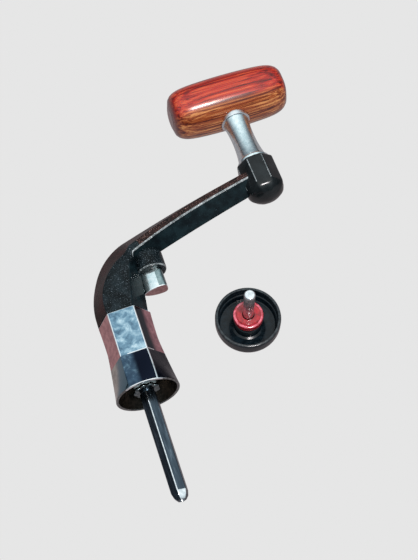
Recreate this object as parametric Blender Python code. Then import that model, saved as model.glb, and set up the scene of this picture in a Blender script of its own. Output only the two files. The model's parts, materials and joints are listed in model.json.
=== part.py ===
"""Fold-down crank handle of a spinning reel, with a turning T-shaped wooden knob, and the reel's separate cap.

Everything lies on a table at z = 0, in metres. The crank is designed in its own frame, handle_frame: +Y runs
along the drive shaft's axis away from the shaft's tip, +X towards the knob, +Z square to the plane of the
crank, and the bell mouth's centre is its origin. settle() then lays it on its three points of rest.
"""

from math import acos, atan2, cos, pi, radians, sin

import bmesh
import bpy
import numpy as np
from mathutils import Matrix, Vector

MM = 0.001

# Fits
GAP = 0.30 * MM  # between pieces that face each other
RUNNING_GAP = 0.22 * MM  # around a shaft in its bearing
ROUND_SIDES = 32

# Shank and bell
SEAM_Y = 27.3 * MM  # shank's end face, where the arm begins
WAIST_Y = 17.0 * MM
FLARE_Y = 11.6 * MM  # where the front and back flats turn outwards
SEAM_HALF_CORNER = 8.7 * MM
WAIST_HALF_CORNER = 8.4 * MM
HEX_HALF_FLAT = 4.35 * MM
HEX_HEIGHT = 7.95 * MM  # from the axis to the flats that face +Z and -Z
FLARE_STEP = 0.15 * MM
BELL_RADIUS = 10.25 * MM
BELL_WALL = 0.9 * MM
BELL_DEPTH = 7.5 * MM
BOSS_RADIUS = 3.7 * MM
BOSS_Y = 2.6 * MM  # how far inside the mouth the boss ends

# Drive shaft
SHAFT_FLATS = 4.8 * MM
SHAFT_LENGTH = 35.6 * MM  # beyond the mouth
SHAFT_ROLL = radians(8)  # of its upper edge, from +Z towards -X
SHAFT_ROOT_Y = 0.4 * MM  # where the hexagon begins, just inside the mouth
SHAFT_NECK_RADIUS = 2.0 * MM
SHAFT_SEAT = 8.0 * MM  # the neck's length inside the boss
LOCK_RING_RADIUS = 3.7 * MM
LOCK_RING_TEETH = 9
LOCK_RING_TOOTH = 0.65 * MM
LOCK_RING_THICKNESS = 1.1 * MM
TIP_LENGTH = 2.6 * MM
TIP_FLATS = 2.5 * MM

# Fold hinge
PIVOT_X = 6.1 * MM
PIVOT_ABOVE_SEAM = 3.6 * MM
TONGUE_RADIUS = 3.2 * MM
TONGUE_THICKNESS = 2.6 * MM
HINGE_PIN_RADIUS = 1.1 * MM
HINGE_PIN_TOP = 2.2 * MM  # ends short of the visible face
HINGE_PIN_BOTTOM = 3.6 * MM

# Arm
ARM_RISE = radians(14.4)  # its slope above +X
ARM_BOW = 0.45 * MM
ELBOW_INNER_X = 10.4 * MM
ELBOW_INNER_Y = 43.2 * MM
ELBOW_INNER_RADIUS = 1.6 * MM
ELBOW_TOP_WIDTH = 11.7 * MM  # from the inner corner to the outer edge, where the straight arm begins
ELBOW_SWELL = 3.9 * MM  # extra width where the elbow starts to turn
ARM_HUB_WIDTH = 8.9 * MM
ARM_HUB_HEIGHT = 4.5 * MM
EDGE = 0.35 * MM

# Hub and knob. Heights are measured along the knob's axis from the hub's top.
KNOB_X = 57.35 * MM
HUB_TOP_ABOVE_ARM = 5.56 * MM  # above the arm's middle line where it meets the hub
KNOB_LEAN = radians(1.5)
HUB_FLATS = 12.4 * MM
HUB_FACET_LENGTH = 10.3 * MM
HUB_LENGTH = 14.7 * MM
SPINDLE_RADIUS = 1.5 * MM
SPINDLE_SEAT = 10.5 * MM  # how deep it stands in the hub
BUSH_WALL = 0.8 * MM
BUSH_LENGTH = 5.0 * MM
SLEEVE_FOOT_RADIUS = 5.6 * MM
SLEEVE_WAIST_RADIUS = 3.95 * MM
SLEEVE_COLLAR_RADIUS = 5.1 * MM
SLEEVE_COLLAR_LENGTH = 1.7 * MM
SLEEVE_TUBE_RADIUS = 3.7 * MM
WASHER_THICKNESS = 0.4 * MM
BAR_HEIGHT = 27.85 * MM  # its middle above the hub's top
BAR_HALF_LENGTH = 20.7 * MM
BAR_HALF_DEPTH = 8.65 * MM  # along the knob's axis
BAR_HALF_BREADTH = 9.9 * MM
BAR_SEAT_DEPTH = 5.05 * MM  # of its upper counterbore
COLLAR_SINK = 1.0 * MM  # how far the sleeve's collar stands in the bar
END_CAP_RADIUS = 4.2 * MM
END_CAP_THICKNESS = 1.2 * MM
NUT_FLATS = 5.0 * MM
NUT_THICKNESS = 1.8 * MM

# Release button
BUTTON_X = 14.0 * MM  # its ridge
BUTTON_Y = 33.5 * MM
BUTTON_LENGTH = 10.0 * MM
BUTTON_LEFT = 5.5 * MM
BUTTON_RIGHT = 2.55 * MM
BUTTON_HALF_DEPTH = 2.55 * MM
BUTTON_TRAVEL = 2.6 * MM
BUTTON_BOSS_X = 13.25 * MM
BUTTON_BOSS_RADIUS = 4.95 * MM
BUTTON_BOSS_Y = 40.4 * MM
SPRING_RADIUS = 1.45 * MM
SPRING_WIRE = 0.4 * MM
SPRING_TURNS = 3
PAWL_WIDTH = 2.4 * MM
PAWL_DEPTH = 2.0 * MM
STOP_PIN_RADIUS = 0.6 * MM
STOP_PIN_TOP = 1.25 * MM  # it is fitted from the underside and ends inside the button

# Cap
CAP_X = 38.0 * MM  # from the bell mouth's centre
CAP_Y = 16.85 * MM
CAP_RADIUS = 10.6 * MM
CAP_HEIGHT = 7.9 * MM
CAP_BASE_RADIUS = 8.6 * MM
CAP_WALL = 1.0 * MM
CAP_FLOOR = 2.0 * MM
CAP_BOSS_RADIUS = 4.3 * MM
CAP_BOSS_HEIGHT = 7.0 * MM
INSERT_RADIUS = 4.85 * MM
INSERT_THICKNESS = 2.5 * MM
STUD_RADIUS = 1.75 * MM
STUD_LENGTH = 14.5 * MM  # above the insert

CHROME = ("chrome", (0.62, 0.68, 0.72), 0.12, 1.0)
BLACK = ("black_paint", (0.02, 0.02, 0.022), 0.35, 0.0)
WOOD = ("lacquered_wood", (0.42, 0.10, 0.035), 0.2, 0.0)
STEEL = ("steel", (0.35, 0.38, 0.40), 0.3, 1.0)
BRONZE = ("bronze", (0.55, 0.36, 0.16), 0.35, 1.0)
PLASTIC = ("black_plastic", (0.018, 0.02, 0.024), 0.25, 0.0)
RED = ("red_plastic", (0.45, 0.01, 0.02), 0.25, 0.0)


def clear_scene():
    for obj in list(bpy.data.objects):
        bpy.data.objects.remove(obj)


def material(finish):
    name, colour, roughness, metallic = finish
    made = bpy.data.materials.get(name) or bpy.data.materials.new(name)
    made.use_nodes = True
    shader = made.node_tree.nodes["Principled BSDF"]
    shader.inputs["Base Color"].default_value = (*colour, 1)
    shader.inputs["Roughness"].default_value = roughness
    shader.inputs["Metallic"].default_value = metallic
    return made


def empty(name, parent=None, location=(0, 0, 0)):
    obj = bpy.data.objects.new(name, None)
    bpy.context.scene.collection.objects.link(obj)
    obj.parent = parent
    obj.location = location
    return obj


def placed(name, shape, parent, location=(0, 0, 0), finish=None):
    """A mesh object from a bmesh. Without a finish it is a cutter or another helper."""
    bmesh.ops.recalc_face_normals(shape, faces=shape.faces)
    mesh = bpy.data.meshes.new(name)
    shape.to_mesh(mesh)
    shape.free()
    obj = bpy.data.objects.new(name, mesh)
    bpy.context.scene.collection.objects.link(obj)
    obj.parent = parent
    obj.location = location
    if finish:
        mesh.materials.append(material(finish))
        mesh.shade_smooth()
        mesh.set_sharp_from_angle(angle=radians(30))
    else:
        obj.hide_render = True
        obj.display_type = "WIRE"
    return obj


def boolean(target, other, operation):
    """Cuts or joins with a helper, which moves with the target."""
    modifier = target.modifiers.new(other.name, "BOOLEAN")
    modifier.operation = operation
    modifier.object = other
    modifier.solver = "EXACT"


def lofted(rings):
    """A closed shape through rings of equal count, its two ends filled."""
    shape = bmesh.new()
    rows = [[shape.verts.new(point) for point in ring] for ring in rings]
    count = len(rows[0])
    for lower, upper in zip(rows, rows[1:]):
        for i in range(count):
            j = (i + 1) % count
            shape.faces.new((lower[i], lower[j], upper[j], upper[i]))
    shape.faces.new(rows[0])
    shape.faces.new(rows[-1])
    return shape


def ring_along(axis, outline, height):
    """Outline points (a, b) set at a height along the axis, so that looking down on it they turn one way."""
    if axis == "Y":
        return [Vector((a, height, -b)) for a, b in outline]
    return [Vector((a, b, height)) for a, b in outline]


def circle(radius, sides=ROUND_SIDES, turn=0.0):
    return [
        (radius * cos(2 * pi * i / sides + turn), radius * sin(2 * pi * i / sides + turn))
        for i in range(sides)
    ]


def turned(profile, axis="Y", sides=ROUND_SIDES):
    """A solid of revolution from (radius, height) pairs, first and last ring filled flat."""
    return lofted([ring_along(axis, circle(r, sides), h) for r, h in profile])


def tube(profile, axis="Y", sides=ROUND_SIDES):
    """A ring-shaped solid: the profile is a closed loop of (radius, height) pairs off the axis."""
    shape = bmesh.new()
    rows = [
        [shape.verts.new(p) for p in ring_along(axis, circle(r, sides), h)]
        for r, h in profile
    ]
    for k, row in enumerate(rows):
        following = rows[(k + 1) % len(rows)]
        for i in range(sides):
            j = (i + 1) % sides
            shape.faces.new((row[i], row[j], following[j], following[i]))
    return shape


def prism(outline, low, high, axis="Z"):
    return lofted([ring_along(axis, outline, low), ring_along(axis, outline, high)])


def box_shape(low, high):
    shape = bmesh.new()
    made = bmesh.ops.create_cube(shape, size=1)
    low, high = Vector(low), Vector(high)
    for vert in made["verts"]:
        vert.co = (low + high) / 2 + vert.co * 1
        for k in range(3):
            vert.co[k] = low[k] if vert.co[k] < (low[k] + high[k]) / 2 else high[k]
    return shape


def smoothstep(x):
    x = min(1.0, max(0.0, x))
    return x * x * (3 - 2 * x)


def hexagon(flats, turn=0.0):
    """A regular hexagon across its flats, with a corner on +X before turning."""
    return circle(flats / 2 / cos(pi / 6), 6, turn)


def divided(corners, parts):
    """Each side of a polygon cut into equal parts."""
    points = []
    for k, start in enumerate(corners):
        end = corners[(k + 1) % len(corners)]
        for i in range(parts):
            s = i / parts
            points.append((start[0] + (end[0] - start[0]) * s, start[1] + (end[1] - start[1]) * s))
    return points


def chamfered(corners, cut):
    """A polygon whose corners are cut off at a distance from each."""
    points = []
    for k, corner in enumerate(corners):
        here = Vector(corner)
        for other in (corners[k - 1], corners[(k + 1) % len(corners)]):
            along = (Vector(other) - here).normalized()
            points.append(tuple(here + along * cut))
    return points


def superellipse(half_a, half_b, power, sides):
    points = []
    for i in range(sides):
        t = 2 * pi * i / sides
        c, s = cos(t), sin(t)
        points.append(
            (
                half_a * abs(c) ** (2 / power) * (1 if c >= 0 else -1),
                half_b * abs(s) ** (2 / power) * (1 if s >= 0 else -1),
            )
        )
    return points


def egg(left, right, half_b, sides):
    """A section with its ridge at 0: slanted on the left of it, full on the right."""
    full = superellipse(right, half_b, 3.2, sides)
    slanted = superellipse(left, half_b, 1.8, sides)
    return [full[i] if full[i][0] >= -1e-9 else slanted[i] for i in range(sides)]


def shank_corners(half_corner, half_flat, height):
    """The shank's hexagon, as (x, -z) pairs in turning order."""
    return [
        (half_corner, 0),
        (half_flat, height),
        (-half_flat, height),
        (-half_corner, 0),
        (-half_flat, -height),
        (half_flat, -height),
    ]


SIDE_PARTS = 6


def shank_half_corner(y):
    """The shank's half width over its side corners: least at the waist."""
    if y > WAIST_Y:
        return WAIST_HALF_CORNER + (SEAM_HALF_CORNER - WAIST_HALF_CORNER) * ((y - WAIST_Y) / (SEAM_Y - WAIST_Y)) ** 2
    return WAIST_HALF_CORNER + (BELL_RADIUS - WAIST_HALF_CORNER) * ((WAIST_Y - y) / WAIST_Y) ** 1.1


def shank_ring(y, inset=0.0, step=0.0):
    """A ring of the shank: a hexagon down to the flare, which swells to a circle at the mouth."""
    half_corner = shank_half_corner(y)
    flare = max(0.0, (FLARE_Y - y) / FLARE_Y)
    height = HEX_HEIGHT + (BELL_RADIUS - HEX_HEIGHT) * flare**1.15 + step
    half_flat = HEX_HALF_FLAT * (1 + 0.12 * flare)
    corners = shank_corners(half_corner, half_flat, height)
    angles = [atan2(b, a) for a, b in corners]
    ring = []
    for k, (a, b) in enumerate(divided(corners, SIDE_PARTS)):
        side, part = divmod(k, SIDE_PARTS)
        start = angles[side]
        sweep = (angles[(side + 1) % 6] - start) % (2 * pi)
        angle = start + sweep * part / SIDE_PARTS
        roundness = flare**2.2
        a += (half_corner * cos(angle) - a) * roundness
        b += (half_corner * sin(angle) - b) * roundness
        size = (a * a + b * b) ** 0.5
        ring.append((a * (1 - inset / size), b * (1 - inset / size)))
    return ring_along("Y", ring, y)


def shank_bell(parent):
    """The shank from its end face to the bell mouth, round the lip, up the inner wall and down the inner boss."""
    bevel = 0.3 * MM
    rings = [shank_ring(SEAM_Y, bevel), shank_ring(SEAM_Y - bevel)]
    upper_rings, flare_rings = 4, 9
    for k in range(1, upper_rings + 1):
        rings.append(shank_ring(SEAM_Y - bevel + (FLARE_Y + bevel - SEAM_Y) * k / upper_rings))
    for k in range(flare_rings + 1):
        s = k / flare_rings
        rings.append(shank_ring((FLARE_Y - FLARE_STEP) * (1 - s) + bevel * s, step=FLARE_STEP * (1 - s)))
    sides = 6 * SIDE_PARTS
    lip = BELL_RADIUS - bevel
    inner = BELL_RADIUS - BELL_WALL
    seat = SHAFT_NECK_RADIUS + RUNNING_GAP
    for radius, y in (
        (lip, 0),
        (inner, 0),
        (inner - 0.5 * MM, BELL_DEPTH * 0.55),
        (inner - 1.9 * MM, BELL_DEPTH),
        (BOSS_RADIUS + 0.3 * MM, BELL_DEPTH),
        (BOSS_RADIUS, BOSS_Y + 1.6 * MM),
        (BOSS_RADIUS - 0.3 * MM, BOSS_Y + 0.6 * MM),
        (BOSS_RADIUS - 0.9 * MM, BOSS_Y),
        (seat, BOSS_Y),
        (seat, BOSS_Y + SHAFT_SEAT + GAP),
    ):
        rings.append(ring_along("Y", circle(radius, sides), y))
    shank = placed("shank_bell", lofted(rings), parent, finish=CHROME)

    pivot_y = SEAM_Y + PIVOT_ABOVE_SEAM
    right = SEAM_HALF_CORNER - 0.85 * MM - PIVOT_X
    top = acos(right / TONGUE_RADIUS)
    outline = [(right, -PIVOT_ABOVE_SEAM - 2 * MM)]
    steps = 14
    outline += [
        (TONGUE_RADIUS * cos(top + (pi - top) * k / steps), TONGUE_RADIUS * sin(top + (pi - top) * k / steps))
        for k in range(steps + 1)
    ]
    outline.append((-TONGUE_RADIUS, -PIVOT_ABOVE_SEAM - 2 * MM))
    tongue = placed(
        "tongue",
        prism(outline, -TONGUE_THICKNESS / 2, TONGUE_THICKNESS / 2),
        parent,
        (PIVOT_X, pivot_y, 0),
    )
    hole = placed(
        "tongue_hole",
        turned([(HINGE_PIN_RADIUS + RUNNING_GAP, -9 * MM), (HINGE_PIN_RADIUS + RUNNING_GAP, 9 * MM)], "Z", 24),
        parent,
        (PIVOT_X, pivot_y, 0),
    )
    boolean(shank, tongue, "UNION")
    boolean(shank, hole, "DIFFERENCE")
    return shank


def drive_shaft(parent):
    """Hexagonal bar on a round neck that stands in the boss, with a tapered tip and a small centre hole."""
    turn = pi / 2 - SHAFT_ROLL
    parts = 4

    def flat_ring(flats, y):
        return ring_along("Y", divided(hexagon(flats, turn), parts), y)

    def round_ring(radius, y):
        return ring_along("Y", circle(radius, 6 * parts, turn), y)

    neck_end = BOSS_Y + SHAFT_SEAT
    centre_hole = 0.75 * MM
    rings = [
        round_ring(SHAFT_NECK_RADIUS - 0.3 * MM, neck_end),
        round_ring(SHAFT_NECK_RADIUS, neck_end - 0.3 * MM),
        round_ring(SHAFT_NECK_RADIUS, SHAFT_ROOT_Y),
        flat_ring(SHAFT_FLATS, SHAFT_ROOT_Y),
        flat_ring(SHAFT_FLATS, -SHAFT_LENGTH + TIP_LENGTH),
        flat_ring(SHAFT_FLATS * 0.84, -SHAFT_LENGTH + TIP_LENGTH * 0.4),
        flat_ring(TIP_FLATS, -SHAFT_LENGTH),
        round_ring(centre_hole, -SHAFT_LENGTH),
        round_ring(centre_hole * 0.6, -SHAFT_LENGTH + 1.0 * MM),
    ]
    return placed("drive_shaft", lofted(rings), parent, finish=STEEL)


def ring_tube(rows):
    """A ring-shaped solid through a closed loop of rings of equal count."""
    shape = bmesh.new()
    made = [[shape.verts.new(point) for point in row] for row in rows]
    for k, row in enumerate(made):
        following = made[(k + 1) % len(made)]
        for i in range(len(row)):
            j = (i + 1) % len(row)
            shape.faces.new((row[i], row[j], following[j], following[i]))
    return shape


def shaft_lock_ring(parent):
    """Ring with round teeth that holds the shaft's neck in the boss."""
    parts = 6
    count = LOCK_RING_TEETH * parts
    bore = ring_along("Y", circle(SHAFT_NECK_RADIUS + RUNNING_GAP, count), 0)

    def toothed(inset):
        points = []
        for k in range(count):
            t = 2 * pi * k / count
            reach = LOCK_RING_RADIUS + LOCK_RING_TOOTH * abs(sin(LOCK_RING_TEETH * t / 2)) - inset
            points.append((reach * cos(t), reach * sin(t)))
        return points

    high = BOSS_Y - GAP
    low = high - LOCK_RING_THICKNESS
    edge = 0.3 * MM
    rows = [
        ring_along("Y", toothed(edge), low),
        ring_along("Y", toothed(0), low + edge),
        ring_along("Y", toothed(0), high - edge),
        ring_along("Y", toothed(edge), high),
        [Vector((p.x, high, p.z)) for p in bore],
        [Vector((p.x, low, p.z)) for p in bore],
    ]
    return placed("shaft_lock_ring", ring_tube(rows), parent, finish=STEEL)


def arm_line():
    """Ends of the straight arm's middle line, in the crank's plane: behind the elbow and inside the hub."""
    along = Vector((cos(ARM_RISE), sin(ARM_RISE)))
    outward = Vector((-sin(ARM_RISE), cos(ARM_RISE)))
    first = Vector((ELBOW_INNER_X, ELBOW_INNER_Y)) + outward * (ELBOW_TOP_WIDTH + ELBOW_INNER_RADIUS) / 2
    return first, first + along * (KNOB_X - 0.3 * MM - first.x) / along.x


def hub_top_y():
    return arm_line()[1].y + HUB_TOP_ABOVE_ARM


def elbow_stations():
    """The arm's sections from the seam to the hub, as (outer edge, inner edge, flat's start, flat's end, flat's
    height). The edges are points in the crank's plane, and the flat is measured inwards from the outer edge."""
    start = SEAM_Y + GAP
    corner = Vector((ELBOW_INNER_X, ELBOW_INNER_Y))
    outer_at_corner = corner.x - (ELBOW_TOP_WIDTH + ELBOW_SWELL)
    swell_start = SEAM_Y + 2.5 * MM
    flat_at_corner = Vector((7.1 * MM, 12.8 * MM))
    flat_after_elbow = Vector((5.65 * MM, 8.2 * MM))
    flat_at_hub = Vector((2.65 * MM, 4.9 * MM))
    stations = []
    straight = 6
    for k in range(straight + 1):
        risen = k / straight
        y = start + (corner.y - start) * risen
        turning = max(0.0, (y - swell_start) / (corner.y - swell_start))
        outer = -SEAM_HALF_CORNER + (outer_at_corner + SEAM_HALF_CORNER) * turning**2
        inner = SEAM_HALF_CORNER + (corner.x - SEAM_HALF_CORNER) * risen**0.8
        flat_start = -HEX_HALF_FLAT + (flat_at_corner.x + outer_at_corner + HEX_HALF_FLAT) * turning**2.2
        flat_end = HEX_HALF_FLAT + (flat_at_corner.y + outer_at_corner - HEX_HALF_FLAT) * risen**1.2
        height = HEX_HEIGHT - 0.35 * MM * turning
        stations.append((Vector((outer, y)), Vector((inner, y)), flat_start - outer, flat_end - outer, height))
    turn = pi / 2 - ARM_RISE
    fan = 8
    for k in range(1, fan + 1):
        share = k / fan
        outward = Vector((-cos(turn * share), sin(turn * share)))
        width = ELBOW_TOP_WIDTH + ELBOW_SWELL * (1 - share) ** 2.5
        flat = flat_at_corner.lerp(flat_after_elbow, share) + Vector((1.0, 0.35)) * MM * sin(pi * share)
        height = HEX_HEIGHT - (0.35 + 1.0 * share) * MM
        inner = corner + outward * ELBOW_INNER_RADIUS * smoothstep(share)
        stations.append((corner + outward * width, inner, *flat, height))
    outward = Vector((-sin(ARM_RISE), cos(ARM_RISE)))
    first_width = ELBOW_TOP_WIDTH - ELBOW_INNER_RADIUS
    first, last = arm_line()
    first_height = HEX_HEIGHT - 1.35 * MM
    runs = 9
    for k in range(1, runs + 1):
        share = k / runs
        middle = first.lerp(last, share) + outward * ARM_BOW * sin(pi * share)
        half = (first_width + (ARM_HUB_WIDTH - first_width) * share**2) / 2
        ease = 1 - (1 - share) ** 3
        flat = flat_after_elbow.lerp(flat_at_hub, ease)
        height = first_height + (ARM_HUB_HEIGHT - first_height) * ease
        stations.append((middle + outward * half, middle - outward * half, *flat, height))
    return stations


def arm_section(outer, inner, flat_start, flat_end, height):
    """One ring of the arm, standing square to the crank's plane on the line from outer to inner edge."""
    inwards = (inner - outer).normalized()
    width = (inner - outer).length
    corners = [
        (0, 0),
        (flat_start, height),
        (flat_end, height),
        (width, 0),
        (flat_end, -height),
        (flat_start, -height),
    ]
    ring = []
    for across, z in chamfered(corners, EDGE):
        point = outer + inwards * across
        ring.append(Vector((point.x, point.y, z)))
    return ring


def hub_shape():
    """Octagonal hub below y = 0 on the knob's axis, with a ball-shaped lower end."""
    octagon = chamfered(circle(HUB_FLATS / 2 / cos(pi / 8), 8, pi / 8), 0.5 * MM)
    round_radius = HUB_FLATS / 2 * 1.04
    angles = [atan2(b, a) for a, b in octagon]
    rings = []
    dome = 6
    for k in range(1, dome + 1):
        t = pi / 2 * k / dome
        radius = round_radius * sin(t)
        y = -HUB_FACET_LENGTH - (HUB_LENGTH - HUB_FACET_LENGTH) * cos(t)
        share = (k / dome) ** 3
        outline = []
        for (a, b), angle in zip(octagon, angles):
            outline.append(
                (
                    a * share * sin(t) + radius * cos(angle) * (1 - share),
                    b * share * sin(t) + radius * sin(angle) * (1 - share),
                )
            )
        rings.append(ring_along("Y", outline, y))
    rings.append(ring_along("Y", octagon, -0.7 * MM))
    rings.append(ring_along("Y", [(a * 0.93, b * 0.93) for a, b in octagon], 0))
    return lofted(rings)


def crank_arm(parent, knob_axis):
    pivot = Vector((PIVOT_X, SEAM_Y + PIVOT_ABOVE_SEAM, 0))
    rings = [
        [point - pivot for point in arm_section(*station)] for station in elbow_stations()
    ]
    arm = placed("crank_arm", lofted(rings), parent, pivot, BLACK)

    def helper(name, shape, location, operation, frame=parent):
        made = placed(name, shape, frame, location)
        boolean(arm, made, operation)

    helper("hub", hub_shape(), (0, 0, 0), "UNION", knob_axis)
    bore = SPINDLE_RADIUS + 0.2 * MM
    helper(
        "spindle_hole",
        turned([(bore, -SPINDLE_SEAT - GAP), (bore, 5 * MM)], "Y", 24),
        (0, 0, 0),
        "DIFFERENCE",
        knob_axis,
    )
    boss_top = BUTTON_BOSS_Y + 8.5 * MM
    helper(
        "button_boss",
        turned(
            [
                (BUTTON_BOSS_RADIUS - 0.7 * MM, BUTTON_BOSS_Y),
                (BUTTON_BOSS_RADIUS, BUTTON_BOSS_Y + 0.6 * MM),
                (BUTTON_BOSS_RADIUS, boss_top - 2.5 * MM),
                (BUTTON_BOSS_RADIUS * 0.8, boss_top - 0.8 * MM),
                (BUTTON_BOSS_RADIUS * 0.4, boss_top),
            ]
        ),
        (BUTTON_BOSS_X, 0, 0),
        "UNION",
    )
    slot = TONGUE_RADIUS + GAP
    half_slot = TONGUE_THICKNESS / 2 + GAP
    steps = 8
    outline = [(-slot, -9 * MM)]
    outline += [
        (slot * cos(pi - pi / 2 * k / steps), slot * sin(pi - pi / 2 * k / steps))
        for k in range(steps + 1)
    ]
    outline += [(12 * MM, slot), (12 * MM, -9 * MM)]
    helper("tongue_slot", prism(outline, -half_slot, half_slot), pivot, "DIFFERENCE")

    # The cheeks' lower inner corners are rounded about the pivot, so that they turn clear of the shank.
    clear = PIVOT_ABOVE_SEAM - GAP
    steps = 8
    corner = [(clear * sin(pi / 2 * k / steps), -clear * cos(pi / 2 * k / steps)) for k in range(steps + 1)]
    corner += [(14 * MM, 0), (14 * MM, -9 * MM), (0, -9 * MM)]
    helper("cheek_corner", prism(corner, -12 * MM, 12 * MM), pivot, "DIFFERENCE")
    hole = HINGE_PIN_RADIUS + 0.2 * MM
    helper(
        "hinge_pin_hole",
        turned([(hole, -12 * MM), (hole, HINGE_PIN_TOP + GAP)], "Z", 24),
        pivot,
        "DIFFERENCE",
    )
    pocket = egg(BUTTON_LEFT + GAP, BUTTON_RIGHT + GAP, BUTTON_HALF_DEPTH + GAP, 28)
    pocket_top = BUTTON_Y + BUTTON_LENGTH + BUTTON_TRAVEL + GAP
    helper(
        "button_pocket",
        prism(pocket, BUTTON_Y - 3 * MM, pocket_top, "Y"),
        (BUTTON_X, 0, 0),
        "DIFFERENCE",
    )
    bore = SPRING_RADIUS + SPRING_WIRE / 2 + 0.25 * MM
    spring_top = pocket_top + 4.0 * MM
    helper(
        "spring_bore",
        turned([(bore, pocket_top - 1 * MM), (bore, spring_top)], "Y", 20),
        (BUTTON_X, 0, 0),
        "DIFFERENCE",
    )
    helper(
        "pawl_pocket",
        box_shape(
            (pawl_left() - GAP, pawl_bottom() - 1.2 * MM, -half_slot - GAP),
            (BUTTON_X, pawl_bottom() + PAWL_WIDTH + BUTTON_TRAVEL + GAP, half_slot + GAP),
        ),
        (0, 0, 0),
        "DIFFERENCE",
    )
    stop_hole = STOP_PIN_RADIUS + 0.2 * MM
    helper(
        "stop_pin_hole",
        turned([(stop_hole, -12 * MM), (stop_hole, 0)], "Z", 16),
        (BUTTON_X, stop_pin_y(), 0),
        "DIFFERENCE",
    )
    return arm


def pawl_bottom():
    return SEAM_Y + PIVOT_ABOVE_SEAM + TONGUE_RADIUS + 2 * GAP


def pawl_left():
    return PIVOT_X - 0.2 * MM


def stop_pin_y():
    return BUTTON_BOSS_Y + 2.4 * MM


def fold_hinge_pin(parent):
    """Pin with a low head, pressed in from the crank's underside."""
    pivot = Vector((PIVOT_X, SEAM_Y + PIVOT_ABOVE_SEAM, 0))
    shape = turned(
        [
            (HINGE_PIN_RADIUS * 0.8, -HINGE_PIN_BOTTOM - 0.2 * MM),
            (HINGE_PIN_RADIUS, -HINGE_PIN_BOTTOM),
            (HINGE_PIN_RADIUS, HINGE_PIN_TOP - 0.2 * MM),
            (HINGE_PIN_RADIUS * 0.8, HINGE_PIN_TOP),
        ],
        "Z",
        24,
    )
    return placed("fold_hinge_pin", shape, parent, pivot, STEEL)


def release_button(parent):
    """Push button: a flattened bar with a rounded end, a spring spigot on top and a slot for its stop pin."""
    sides = 28

    def ring(inset, y):
        section = egg(BUTTON_LEFT - inset, BUTTON_RIGHT - inset, BUTTON_HALF_DEPTH - inset, sides)
        return ring_along("Y", section, y)

    edge = 0.35 * MM
    top = BUTTON_LENGTH
    spigot = SPRING_RADIUS - SPRING_WIRE / 2 - 0.2 * MM
    button = placed(
        "release_button",
        lofted(
            [
                ring(edge, 0),
                ring(0, edge),
                ring(0, top - edge),
                ring(edge, top),
                ring_along("Y", circle(spigot, sides), top),
                ring_along("Y", circle(spigot, sides), top + 1.2 * MM),
            ]
        ),
        parent,
        (BUTTON_X, BUTTON_Y, 0),
        CHROME,
    )
    half = STOP_PIN_RADIUS + RUNNING_GAP
    low = stop_pin_y() - BUTTON_Y - half - BUTTON_TRAVEL
    high = stop_pin_y() - BUTTON_Y + half
    slot = placed(
        "button_slot",
        box_shape((-half, low, -9 * MM), (half, high, STOP_PIN_TOP + GAP)),
        parent,
        (BUTTON_X, BUTTON_Y, 0),
    )
    boolean(button, slot, "DIFFERENCE")
    return button


def lock_pawl(parent):
    """Pawl that stands out of the button towards the tongue's rim."""
    low = (pawl_left(), pawl_bottom(), -PAWL_DEPTH / 2)
    high = (BUTTON_X - BUTTON_LEFT - GAP, pawl_bottom() + PAWL_WIDTH, PAWL_DEPTH / 2)
    return placed("lock_pawl", box_shape(low, high), parent, finish=STEEL)


def button_spring(parent):
    """Coil spring between the button's top and the bore's end."""
    low = BUTTON_Y + BUTTON_LENGTH + SPRING_WIRE / 2 + 0.1 * MM
    high = BUTTON_Y + BUTTON_LENGTH + BUTTON_TRAVEL + 4.0 * MM - SPRING_WIRE / 2 + 0.1 * MM
    per_turn, sides = 16, 6
    count = per_turn * SPRING_TURNS
    rings = []
    for k in range(count + 1):
        t = 2 * pi * k / per_turn
        out = Vector((cos(t), 0, sin(t)))
        centre = out * SPRING_RADIUS + Vector((0, low + (high - low) * k / count, 0))
        rings.append(
            [
                centre
                + (out * cos(2 * pi * i / sides) + Vector((0, 1, 0)) * sin(2 * pi * i / sides)) * SPRING_WIRE / 2
                for i in range(sides)
            ]
        )
    return placed("button_spring", lofted(rings), parent, (BUTTON_X, 0, 0), STEEL)


def button_stop_pin(parent):
    low = -BUTTON_HALF_DEPTH - 0.9 * MM
    shape = turned([(STOP_PIN_RADIUS, low), (STOP_PIN_RADIUS, STOP_PIN_TOP)], "Z", 16)
    return placed("button_stop_pin", shape, parent, (BUTTON_X, stop_pin_y(), 0), STEEL)


def sleeve_foot():
    return GAP


def collar_top():
    """The floor of the counterbore that the sleeve's collar stands in."""
    return BAR_HEIGHT - BAR_HALF_DEPTH + COLLAR_SINK


def bar_seat():
    """The floor of the T-bar's upper counterbore, below the retaining washer."""
    return BAR_HEIGHT + BAR_HALF_DEPTH - BAR_SEAT_DEPTH


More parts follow.
